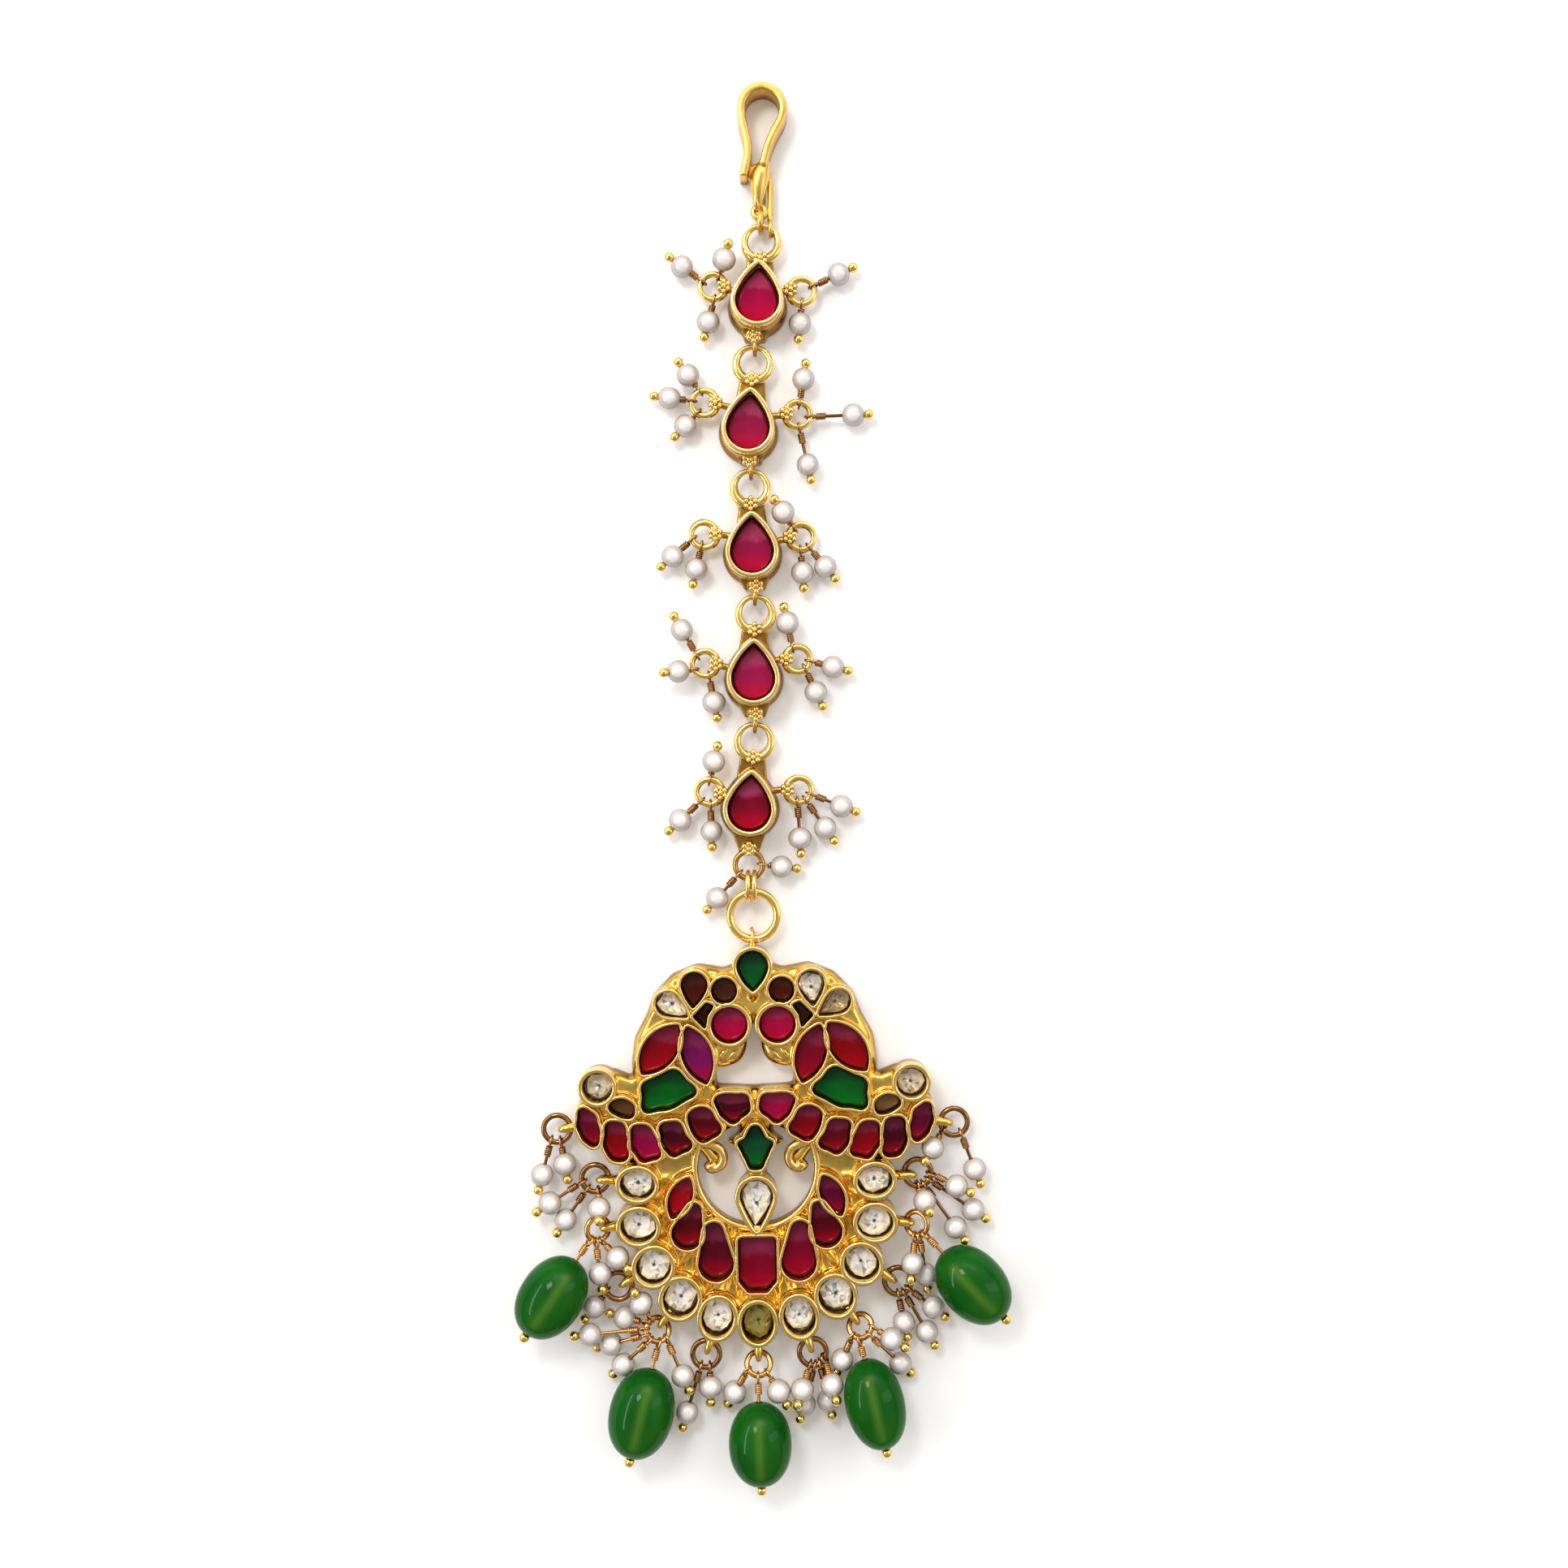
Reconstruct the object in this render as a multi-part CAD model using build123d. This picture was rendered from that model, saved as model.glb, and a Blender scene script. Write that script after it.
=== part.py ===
from build123d import *
import os
from math import cos, sin, sqrt, radians, degrees, atan2

# A maang tikka: a jewelled hair chain that ends in a crescent pendant with two facing peacocks.
# It lies face up on a flat surface. +Y runs to the hair hook, +Z is up, and all sizes are in mm.

# ------------------------------------------------------------------ driving dimensions
PENDANT_AT = (-1.09, -44.69)     # centre of the pendant's crescent, on the chart the chain is laid out on
PENDANT_TURN = 1.0               # degrees that the pendant lies turned by
WIRE_LEVEL = 1.45                # height of the rings' wire above the surface
PLATE_TOP = 1.0                  # pendant's base plate
BEZEL_TOP = 3.0                  # top edge of every stone cup on the pendant
CELL_FLOOR = 1.5                 # bottom of the cells that the stones sit in
RIM = 0.55                       # wall of a stone cup
STONE_GAP = 0.06                 # all round between a stone and its cell
FLOOR_GAP = 0.02                 # under a stone
STONE_TOP = 2.65                 # flat top of a stone
CROWN = 0.32                     # bevel round a stone's top

CUP_TOP = 3.2                    # chain links
CUP_WIDTH = 5.15
CUP_LENGTH = 6.75
CUP_RIM = 0.62
LINK_CROWN = 0.5                 # wider bevel on the links' stones
NECK_TOP = 1.5
RING_R = 2.0                     # crescent ring on top of a link, to the middle of its wire
RING_HEIGHT = 0.8
EAR_R = 1.5
EAR_WIRE = 0.3
LOOP_R = 0.86                    # loop under a link, round the next link's ring
LOOP_WIRE = 0.27

PEARL_R = 1.38
PEARL_HOLE = 0.27
PIN_WIRE = 0.2
PIN_LOOP_R = 0.62
PIN_LOOP_WIRE = 0.15
PIN_BALL = 0.55
BALL_REACH = 1.86                # from a pearl's middle to its pin's ball
BEAD_BALL_REACH = 0.48           # from a bead's flat end to its pin's ball

JUMP_R = 1.6                     # jump rings round the pendant's edge
JUMP_WIRE = 0.24
EYE_R = 1.05                     # upright wire eyes on the pendant's edge
EYE_WIRE = 0.36

BIG_RING_R = 2.8
BIG_RING_WIRE = 0.5
BIG_RING_LEVEL = 1.6

# Chain links, from the hook down: middle of the stone cup, the way the link is turned, how far its
# ring stands above the cup's middle, and where its left and right ear rings lie from that middle.
LINKS = [
    {"x": -0.91, "y": 57.98, "turn": -3.3, "ring": 6.65, "left": (-5.4, 1.1), "right": (5.2, 1.3)},
    {"x": -1.97, "y": 43.06, "turn": -4.4, "ring": 7.25, "left": (-5.5, 2.3), "right": (5.7, 1.6)},
    {"x": -1.56, "y": 28.58, "turn": 0.9, "ring": 7.05, "left": (-5.7, 1.7), "right": (5.8, 1.0)},
    {"x": -1.39, "y": 13.68, "turn": -0.9, "ring": 7.05, "left": (-5.8, 0.9), "right": (5.2, 1.8)},
    {"x": -1.80, "y": -1.68, "turn": -3.4, "ring": 7.3, "left": (-4.9, 0.9), "right": (5.7, 1.9)},
]
LAST_RING_AT = (-1.95, -9.07)    # round ring under the fifth link
LAST_RING_R = 1.63
LAST_RING_WIRE = 0.33
BIG_RING_AT = (-1.4, -15.05)

# Pearls on the ear rings: link number, ear, angle round the ear ring where the pin's loop sits,
# and the pearl's middle.
SIDE_PEARLS = [
    (1, "left", 150, (-9.9, 61.9, 1.45)), (1, "left", 60, (-4.9, 62.5, 2.3)), (1, "left", 275, (-6.8, 55.3, 1.45)),
    (1, "right", 25, (8.7, 61.0, 1.45)), (1, "right", 268, (4.1, 55.1, 1.45)),
    (2, "left", 112, (-9.2, 49.0, 1.6)), (2, "left", 172, (-11.4, 46.3, 1.45)), (2, "left", 238, (-9.5, 43.0, 1.45)),
    (2, "right", 82, (4.5, 48.5, 1.6)), (2, "right", -5, (10.4, 44.3, 1.45)), (2, "right", 277, (5.0, 38.4, 1.45)),
    (3, "left", 205, (-11.0, 27.5, 1.45)), (3, "left", 258, (-8.2, 26.0, 1.45)),
    (3, "right", 125, (2.1, 32.6, 2.4)), (3, "right", 268, (4.4, 25.6, 1.45)), (3, "right", 312, (7.1, 26.3, 1.45)),
    (4, "left", 130, (-9.9, 18.8, 1.45)), (4, "left", 205, (-10.3, 13.8, 2.4)), (4, "left", 290, (-6.1, 10.2, 1.45)),
    (4, "right", 115, (2.6, 19.6, 1.8)), (4, "right", -12, (8.0, 14.4, 1.45)), (4, "right", 305, (6.0, 11.4, 1.45)),
    (5, "left", 88, (-6.1, 3.2, 1.6)), (5, "left", 225, (-10.1, -3.8, 1.45)), (5, "left", 275, (-6.4, -5.1, 1.45)),
    (5, "right", -22, (9.0, -2.1, 1.45)), (5, "right", 302, (7.1, -4.7, 1.45)), (5, "right", 262, (4.1, -5.9, 1.45)),
]

# Stones of the pendant's right half, in the pendant's own frame; the left half mirrors them.
ROUND_STONES = {"ruby_head": [(2.81, 17.02, 4.05)], "scroll_polki": [(18.41, 9.96, 3.35)], "fan_garnet": [(3.36, 21.07, 2.85)]}
# Leaves: tip, other tip, width.
LEAF_STONES = {
    "ruby_wing": [((8.8, 17.1), (13.15, 11.5), 3.75), ((7.75, 16.9), (5.6, 10.2), 3.4)],
    "crescent_ruby": [((7.85, -0.75), (9.95, -5.45), 2.5)],
}
# Pears: middle of the round end, tip, width.
PEAR_STONES = {
    "fan_polki": [((10.0, 19.6), (7.65, 18.05), 2.75)],
    "fan_garnet": [((6.85, 21.75), (7.05, 19.15), 2.95)],
}
# Eggs: middle of the large end and its width, middle of the small end and its width.
EGG_STONES = {
    "crescent_ruby": [((8.15, -7.35), 3.5, (7.3, -4.55), 1.5), ((4.85, -10.9), 3.95, (5.06, -7.1), 2.1)],
}
# Cut to fit their cells: corners and the radius that rounds them.
CUT_STONES = {
    "fan_garnet": [([(4.65, 19.3), (5.45, 19.65), (7.0, 18.1), (5.65, 16.7), (5.4, 18.2)], 0)],
    "emerald_tail": [([(13.15, 10.35), (9.3, 12.1), (6.5, 9.2), (9.8, 7.35), (13.15, 6.9)], 0.4)],
    "scroll_garnet": [([(14.1, 7.9), (15.4, 8.65), (16.5, 8.45), (17.3, 7.5), (15.8, 6.5), (14.2, 6.3)], 0.4)],
    "collar_ruby": [
        ([(20.5, 8.0), (18.7, 6.8), (18.2, 4.8), (18.5, 2.7), (20.1, 3.8), (20.85, 5.4)], 0.55),
        ([(17.4, 6.05), (15.35, 5.8), (15.0, 3.6), (14.9, 1.35), (16.8, 1.4), (17.75, 2.9)], 0.6),
        ([(14.4, 5.55), (12.5, 5.45), (11.65, 3.9), (10.95, 1.7), (13.3, 1.1), (14.6, 2.9)], 0.6),
        ([(11.2, 5.7), (8.9, 5.9), (8.15, 4.2), (7.1, 2.85), (9.7, 1.65), (10.9, 2.95)], 0.6),
        ([(7.95, 6.6), (6.6, 7.55), (5.35, 7.25), (3.75, 4.6), (6.2, 3.2), (7.4, 4.5)], 0.6),
        ([(4.85, 8.4), (3.75, 9.0), (0.85, 8.9), (0.5, 7.05), (2.6, 5.35), (4.0, 6.5)], 0.55),
    ],
}
# Stones on the pendant's middle line.
GREEN_PEAR = ((0, 23.85), (0, 21.0), 3.5)
KITE = [(0.45, 5.15), (1.2, 3.7), (2.1, 3.25), (0.65, 0.15), (-0.65, 0.15), (-2.1, 3.25), (-1.2, 3.7), (-0.45, 5.15)]
POLKI_DROP = ((0, -3.1), (0, -7.15), 3.75)
MIDDLE_RUBY = [(2.15, -7.9), (2.15, -13.0), (1.1, -14.25), (-1.1, -14.25), (-2.15, -13.0), (-2.15, -7.9)]
# Border stones: middle, size across and along, turn; and the way that each one's wire eye points.
BORDER = [
    {"at": (13.92, -1.49), "size": (4.1, 3.25), "turn": 5, "eye": 3},
    {"at": (13.87, -6.43), "size": (4.2, 3.6), "turn": 0, "eye": -7},
    {"at": (12.2, -11.18), "size": (4.2, 3.85), "turn": -45, "eye": -33},
    {"at": (9.12, -14.93), "size": (3.85, 4.4), "turn": 25, "eye": -55},
    {"at": (4.8, -17.28), "size": (3.5, 4.5), "turn": 10, "eye": -73},
]
LOWEST = {"at": (-0.1, -17.95), "size": (3.45, 4.6), "turn": 0, "eye": -90}
EYE_FROM_STONE = 3.62            # from a border stone's middle to the middle of its eye
COLLAR_EYE_AT = (21.95, 4.95)
COLLAR_EYE_WAY = -8
INNER_R = 7.0                    # open crescent, with its rim
INNER_RIM = 0.6
PLATE_CORNER = 1.6               # rounding of the fan plate's corners

# Base plate of the right half, as overlapping outlines, and the crescent's, which is open inside.
CRESCENT_PLATE = [(6.8, 2.8), (12.6, 0.9), (13.6, -4.0), (12.6, -9.0), (9.0, -14.0), (4.6, -16.6), (0, -17.2), (0, -5.0)]
PLATES = [
    [(0, 20.4), (1.8, 24.4), (3.5, 23.5), (6.6, 24.1), (9.6, 22.9), (11.9, 20.5), (12.7, 18.2), (14.2, 15.4),
     (14.6, 12.6), (14.4, 6.4), (7.0, 7.2), (4.5, 9.4), (4.5, 11.9), (2.5, 14.6), (0, 16.6)],
    [(14.0, 10.6), (16.6, 11.7), (19.8, 10.4), (21.0, 7.6), (14.0, 5.6)],
    [(0, 9.5), (4.5, 9.7), (7.8, 8.2), (14.4, 6.9), (20.4, 8.4), (21.2, 5.0), (18.3, 2.1), (14.6, 0.8),
     (9.8, 1.0), (6.6, 2.6), (2.4, 4.6), (0, 5.3)],
    [(0, 6.0), (1.8, 5.6), (2.4, 2.6), (1.2, -0.6), (1.5, -2.6), (0, -3.0)],
]
BEAK = [(1.15, 14.75), (1.45, 13.2), (2.7, 12.0), (4.1, 11.7), (4.6, 14.4), (2.9, 15.2)]
KITE_FIN = [(0.4, 4.4), (3.45, 3.1), (2.3, 2.3)]
CURL_AT = (4.95, 0.95)
CURL_R = 0.85
CURL_STEM = [(5.3, 0.2), (5.8, 0.9), (6.75, 2.2), (6.6, 3.3), (5.6, 3.1), (4.5, 1.6)]

# Drops at the pendant's edge, in its own frame: ring, angle round the ring of the pin's loop, middle.
# Rings are numbered from the collar round to the lowest one, with a sign for the side.
PEARL_DROPS = {
    "left": [
        (-1, 285, (-22.7, 0.55, 1.45)), (-1, 242, (-25.4, -0.7, 1.45)),
        (-2, 195, (-24.5, -4.0, 1.8)), (-2, 232, (-22.7, -6.1, 1.45)), (-2, 285, (-18.5, -4.3, 3.4)),
        (-3, 292, (-16.5, -10.3, 2.9)), (-3, 258, (-18.6, -12.2, 2.7)),
        (-4, 205, (-19.5, -16.5, 1.45)), (-5, 150, (-15.9, -17.7, 1.7)), (-5, 180, (-19.9, -19.3, 2.9)),
        (-5, 205, (-17.6, -20.9, 1.45)), (-5, 230, (-16.2, -23.4, 1.45)), (-5, 120, (-13.8, -15.6, 3.3)),
    ],
    "bottom": [
        (-5, 310, (-9.1, -24.5, 2.4)), (-6, 245, (-8.7, -29.2, 1.45)), (-6, 285, (-5.9, -26.2, 1.45)),
        (7, 215, (-3.0, -26.9, 1.45)), (7, 308, (2.2, -26.25, 3.1)), (6, 255, (5.0, -26.1, 3.2)),
        (6, 275, (5.2, -28.4, 1.45)), (6, 300, (8.1, -28.0, 1.45)), (6, 330, (8.5, -25.6, 3.2)),
        (5, 235, (9.8, -23.25, 1.45)),
    ],
    "right": [
        (5, 350, (15.6, -20.3, 3.3)), (5, 318, (16.7, -23.8, 1.45)), (4, 270, (17.2, -18.9, 1.45)),
        (4, 325, (20.7, -17.2, 1.45)), (4, 297, (19.9, -20.1, 1.45)), (3, 262, (18.2, -11.5, 3.2)),
        (3, 288, (19.85, -13.3, 1.45)), (2, 268, (19.7, -4.1, 3.6)), (2, 298, (23.5, -7.8, 1.45)),
        (2, 328, (25.6, -5.7, 1.45)), (2, 355, (23.6, -2.6, 2.6)), (1, 300, (25.9, -0.9, 1.45)),
        (1, 215, (20.9, 1.9, 2.4)),
    ],
}
# Green beads: ring, loop angle, middle, width, length.
BEADS = [
    (-3, 225, (-24.2, -14.5, 3.95), 7.6, 10.0),
    (-5, 268, (-13.9, -28.3, 3.9), 7.6, 10.3),
    (7, 268, (-0.05, -32.2, 3.8), 7.4, 9.5),
    (5, 272, (13.5, -27.8, 3.6), 7.0, 10.4),
    (3, 318, (25.2, -13.9, 3.9), 7.6, 10.0),
]
TILTED_RINGS = {-5: 30, 7: 30, 5: 30, -3: 30, 3: 30}   # rings that a bead's pin lifts at their outer side


# ------------------------------------------------------------------ shared geometry
def spot(origin, angle, reach):
    """The point at a distance and an angle (degrees) from an origin."""
    return (origin[0] + reach * cos(radians(angle)), origin[1] + reach * sin(radians(angle)))


def rod(start, end, radius):
    """A round rod between two points."""
    start, end = Vector(*start), Vector(*end)
    way = end - start
    return Plane(start, z_dir=way) * Cylinder(radius, way.length, align=(Align.CENTER, Align.CENTER, Align.MIN))


def pin(length):
    """A ball-headed pin along +X, with its loop round the origin in the XY plane."""
    loop = Rot(0, 0, 180) * Torus(PIN_LOOP_R, PIN_LOOP_WIRE)
    return loop + rod((PIN_LOOP_R, 0, 0), (length, 0, 0), PIN_WIRE) + ball((length, 0, 0), PIN_BALL)


def ball(at, radius):
    return Pos(*at) * Sphere(radius)


def flat_ring(at, radius, wire, level=WIRE_LEVEL):
    """A closed wire ring that lies flat."""
    return Pos(at[0], at[1], level) * Torus(radius, wire)


def upright_loop(at, angle, radius, wire, level=WIRE_LEVEL):
    """A closed wire loop that stands upright, along the given angle."""
    return Plane((at[0], at[1], level), z_dir=(-sin(radians(angle)), cos(radians(angle)), 0)) * Torus(radius, wire)


def outline(points):
    return make_face(Polyline(*points, close=True))


def rounded(points, radius):
    shape = outline(points)
    return fillet(shape.vertices(), radius) if radius else shape


def leaf(tip, other, width):
    """A leaf with two pointed ends, bounded by two arcs."""
    a, b = Vector(*tip), Vector(*other)
    side = Vector(a.Y - b.Y, b.X - a.X).normalized() * (width / 2)
    middle = (a + b) / 2
    return make_face([ThreePointArc(a, middle + side, b), ThreePointArc(b, middle - side, a)])


def pear(middle, tip, width, fullness=0.35):
    """A pear: a round end, and two long arcs that meet it smoothly and run to the tip."""
    radius = width / 2
    reach = (Vector(*tip) - Vector(*middle)).length
    side_r = (reach**2 + radius**2 - 2 * reach * radius * fullness) / (2 * (radius - reach * fullness))
    lean = sqrt(1 - fullness**2)
    start = Vector(radius * fullness, radius * lean)
    hub = Vector(-(side_r - radius) * fullness, -(side_r - radius) * lean)
    end = Vector(reach, 0)
    half = ((start + end) / 2 - hub).normalized() * side_r + hub
    upper = ThreePointArc(start, half, end)
    lower = ThreePointArc(end, Vector(half.X, -half.Y), Vector(start.X, -start.Y))
    back = ThreePointArc(Vector(start.X, -start.Y), Vector(-radius, 0), start)
    turn = degrees(atan2(tip[1] - middle[1], tip[0] - middle[0]))
    return Pos(*middle) * Rot(0, 0, turn) * make_face([upper, lower, back])


def egg(large, width, small, small_width):
    """An egg: two circles of different size, joined by the lines that touch both."""
    run = (Vector(*small) - Vector(*large)).length
    lean = (width - small_width) / 2 / run
    rise = sqrt(1 - lean**2)
    ends = [Vector(at + half * lean, half * rise) for at, half in ((0, width / 2), (run, small_width / 2))]
    mirrored_ends = [Vector(end.X, -end.Y) for end in ends]
    back = ThreePointArc(mirrored_ends[0], Vector(-width / 2, 0), ends[0])
    front = ThreePointArc(ends[1], Vector(run + small_width / 2, 0), mirrored_ends[1])
    turn = degrees(atan2(small[1] - large[1], small[0] - large[0]))
    sides = [Line(ends[0], ends[1]), Line(mirrored_ends[1], mirrored_ends[0])]
    return Pos(*large) * Rot(0, 0, turn) * make_face([back, sides[0], front, sides[1]])


def cushion(at, size, turn):
    """A rounded block outline, as uncut stones have."""
    return Pos(*at) * Rot(0, 0, turn) * RectangleRounded(*size, min(size) * 0.42)


def grown(cell, amount):
    return offset(cell, amount, kind=Kind.ARC)


def cut_stone(cell, crown=CROWN):
    """A flat-topped stone with a straight side and a bevelled edge, sunk in its cell."""
    bottom = CELL_FLOOR + FLOOR_GAP
    block = Pos(0, 0, bottom) * extrude(grown(cell, -STONE_GAP), STONE_TOP - bottom)
    return chamfer(block.faces().sort_by(Axis.Z)[-1].edges(), crown)


def flower(at, level):
    """Seven granules on a little solder plate."""
    granules = [ball((at[0], at[1], level + 0.22), 0.3)]
    granules += [ball((*spot(at, 60 * k + 30, 0.5), level), 0.27) for k in range(6)]
    plate = Pos(at[0], at[1], level - 0.35) * Cylinder(0.72, 0.5)
    return plate + granules


def pin_and_drop(ring_hub, ring_normal, ring_radius, angle, middle, body, reach):
    """A ball-headed pin looped round a ring's wire, through a drop. body makes the drop along +Z."""
    across = Vector(cos(radians(angle)), sin(radians(angle)), 0)
    across = (across - ring_normal * across.dot(ring_normal)).normalized()
    loop_at = ring_hub + across * ring_radius
    way = (Vector(*middle) - loop_at).normalized()
    tangent = ring_normal.cross(across)
    normal = (tangent - way * tangent.dot(way)).normalized()
    length = (Vector(*middle) - loop_at).length + reach
    return Plane(loop_at, x_dir=way, z_dir=normal) * pin(length), Plane(Vector(*middle), z_dir=way) * body


def pearl_body(radius=PEARL_R):
    return Sphere(radius) - Cylinder(PEARL_HOLE, 4 * radius)


def bead_body(width, length):
    """An oval bead with a drilled hole and slightly flattened ends."""
    full = length / 2 * 1.03
    arc = EllipticalCenterArc((0, 0), width / 2, full, start_angle=-90, arc_size=180)
    half = make_face([arc, Line(arc @ 1, arc @ 0)])
    turned = revolve(Plane.XZ * half, Axis.Z)
    flat = Box(2 * width, 2 * width, length)
    return turned & flat - Cylinder(PEARL_HOLE + 0.05, 2 * length)


# ------------------------------------------------------------------ hook
HOOK_ARC_AT = (-0.38, 80.25)
HOOK_ARC_R = 2.47
HOOK_STRIP = 0.85
HOOK_DEPTH = 3.2
KNOB_AT = (-0.67, 72.75)
KNOB_R = 0.98
KNOB_WIRE = 0.42
SHANK_X = 0.6


def hair_hook():
    """A flat strip bent on edge: free tip, left leg, round top, right leg, knob eye and side shank."""
    cx, cy = HOOK_ARC_AT
    left = Spline((-2.6, 72.1), (-2.2, 73.9), (-2.05, 75.4), (-2.55, 77.9), (cx - HOOK_ARC_R, cy), tangents=[(0.1, 1), (0, 1)])
    top = ThreePointArc((cx - HOOK_ARC_R, cy), (cx, cy + HOOK_ARC_R), (cx + HOOK_ARC_R, cy))
    right = Spline((cx + HOOK_ARC_R, cy), (1.15, 77.6), (0.1, 75.0), (-0.3, 73.4), tangents=[(0, -1), (-0.3, -1)])
    path = Wire([left, top, right])
    section = Plane(left @ 0, x_dir=(1, 0, 0), z_dir=left % 0) * Rectangle(HOOK_STRIP, HOOK_DEPTH)
    strip = Pos(0, 0, HOOK_DEPTH / 2) * sweep(section, path=path)
    knob = flat_ring(KNOB_AT, KNOB_R, KNOB_WIRE)
    shank_end = top_ring_point(0, SHANK_X)
    shank = rod((SHANK_X, KNOB_AT[1] - 0.7, WIRE_LEVEL), (SHANK_X, shank_end[1] + LOOP_R, WIRE_LEVEL), 0.34)
    eye = upright_loop(shank_end, 90, LOOP_R, LOOP_WIRE)
    return strip + knob + shank + eye


def long_link(at, half_length, half_width, wire, lean):
    """An oval link along +Y, leaning about that axis."""
    run = half_length - half_width
    loop = [Pos(0, s * run, 0) * (Torus(half_width, wire) & Pos(0, s * 5, 0) * Box(10, 10, 10)) for s in (1, -1)]
    sides = [rod((s * half_width, -run, 0), (s * half_width, run, 0), wire) for s in (1, -1)]
    return Pos(at[0], at[1], WIRE_LEVEL) * Rot(0, lean, 0) * (loop[0] + loop[1] + sides[0] + sides[1])


def hook_links():
    knob_wire_y = KNOB_AT[1] - KNOB_R
    ring_top = top_ring_point(0, -0.6)
    long_top = knob_wire_y + KNOB_WIRE + 0.05 + 0.22
    long_half, long_width, lean = 1.95, 0.88, 62
    small_r, small_wire = 0.72, 0.2
    small_y = long_top - 2 * long_half + 0.22 + 0.05 + small_wire - small_r
    lower_y = (small_y - small_r + ring_top[1]) / 2
    lower_r = abs(small_y - small_r - ring_top[1]) / 2 + 0.62
    return [
        long_link((-0.7, long_top - long_half), long_half, long_width, 0.22, lean),
        flat_ring((-0.72, small_y), small_r, small_wire),
        upright_loop((-0.6, lower_y), 90, lower_r, small_wire, WIRE_LEVEL),
    ]


# ------------------------------------------------------------------ chain links
def link_place(number):
    row = LINKS[number]
    return Pos(row["x"], row["y"], 0) * Rot(0, 0, row["turn"])


def on_link(number, x, y):
    """A point of a link's own frame, on the chart."""
    row = LINKS[number]
    c, s = cos(radians(row["turn"])), sin(radians(row["turn"]))
    return (row["x"] + x * c - y * s, row["y"] + x * s + y * c)


def top_ring_point(number, x=None):
    """The middle of the wire at the top of a link's ring, or above a given x."""
    hub = on_link(number, 0, LINKS[number]["ring"])
    if x is None:
        return on_link(number, 0, LINKS[number]["ring"] + RING_R)
    return (x, hub[1] + sqrt(RING_R**2 - (x - hub[0]) ** 2))


def cup_outline():
    radius = CUP_WIDTH / 2
    low = -CUP_LENGTH / 2 + radius
    return pear((0, low), (0, low + CUP_LENGTH - radius), CUP_WIDTH)


def crescent_ring(y):
    """A ring that is thick below and thin above, where the upper link's loop holds it."""
    outer = Cylinder(RING_R + 0.22, RING_HEIGHT)
    inner = Pos(0, 0.2, 0) * Cylinder(RING_R - 0.38, 2 * RING_HEIGHT)
    body = outer - inner
    body = fillet(body.edges().filter_by(GeomType.CIRCLE), 0.1)
    return Pos(0, y, WIRE_LEVEL) * body


def chain_link(number):
    row = LINKS[number]
    ring_y = row["ring"]
    cell = cup_outline()
    cup = extrude(grown(cell, CUP_RIM), CUP_TOP)
    low = CUP_LENGTH / 2
    upper_neck = extrude(outline([(-1.9, low - 1.2), (-1.4, ring_y - 1.4), (1.4, ring_y - 1.4), (1.9, low - 1.2)]), NECK_TOP)
    body = cup + upper_neck + crescent_ring(ring_y) + flower((0, ring_y - RING_R + 0.1), WIRE_LEVEL + 0.45)
    for side in ("left", "right"):
        x, y = row[side]
        inward = -1 if x > 0 else 1
        seat = (x + inward * (EAR_R - 0.15), y)
        body += flat_ring((x, y), EAR_R, EAR_WIRE)
        body += rod((seat[0], seat[1], WIRE_LEVEL), (-inward * 1.2, y - 0.6, WIRE_LEVEL), 0.4)
        body += flower(seat, WIRE_LEVEL + 0.5)
    bore = Pos(0, 0, CELL_FLOOR) * extrude(cell, CUP_TOP)
    return link_place(number) * (body - bore) + link_foot(number)


def link_foot(number):
    """The neck and loop under a link, which go round the next link's ring."""
    low = CUP_LENGTH / 2
    if number + 1 < len(LINKS):
        loop_at = top_ring_point(number + 1)
        loop = upright_loop(loop_at, 90, LOOP_R, LOOP_WIRE)
        neck_end = (loop_at[0], loop_at[1] + LOOP_R)
    else:
        loop = flat_ring(LAST_RING_AT, LAST_RING_R, LAST_RING_WIRE, BIG_RING_LEVEL)
        neck_end = (LAST_RING_AT[0], LAST_RING_AT[1] + LAST_RING_R)
    left, right = on_link(number, -2.4, 1.1 - low), on_link(number, 2.4, 1.1 - low)
    neck = extrude(outline([left, (neck_end[0] - 1.2, neck_end[1]), (neck_end[0] + 1.2, neck_end[1]), right]), NECK_TOP)
    seat = (neck_end[0], neck_end[1] + 0.35)
    post = Pos(seat[0], seat[1], 0) * Cylinder(0.7, 2 * (WIRE_LEVEL + 0.3)) & Pos(0, 0, 5) * Box(200, 200, 10)
    return neck + post + flower(seat, WIRE_LEVEL + 0.7) + loop


def link_stone(number):
    return link_place(number) * cut_stone(cup_outline(), LINK_CROWN)


def link_drops(number):
    """The pins and pearls on a link's ear rings."""
    pins, pearls = [], []
    for link, side, angle, middle in SIDE_PEARLS:
        if link != number + 1:
            continue
        x, y = on_link(number, *LINKS[number][side])
        hub = Vector(x, y, WIRE_LEVEL)
        made = pin_and_drop(hub, Vector(0, 0, 1), EAR_R, angle, middle, pearl_body(), BALL_REACH)
        pins.append(made[0])
        pearls.append(made[1])
    return pins, pearls


# ------------------------------------------------------------------ joiner
def joiner_rings():
    """A pair of upright jump rings between the last link's ring and the large ring."""
    y = (LAST_RING_AT[1] - LAST_RING_R + BIG_RING_AT[1] + BIG_RING_R) / 2 - 0.06
    radius, wire = 1.72, 0.28
    return [upright_loop((x, y), 90, radius, wire, radius + wire + 0.02) for x in (-2.05, -1.3)]


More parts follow.
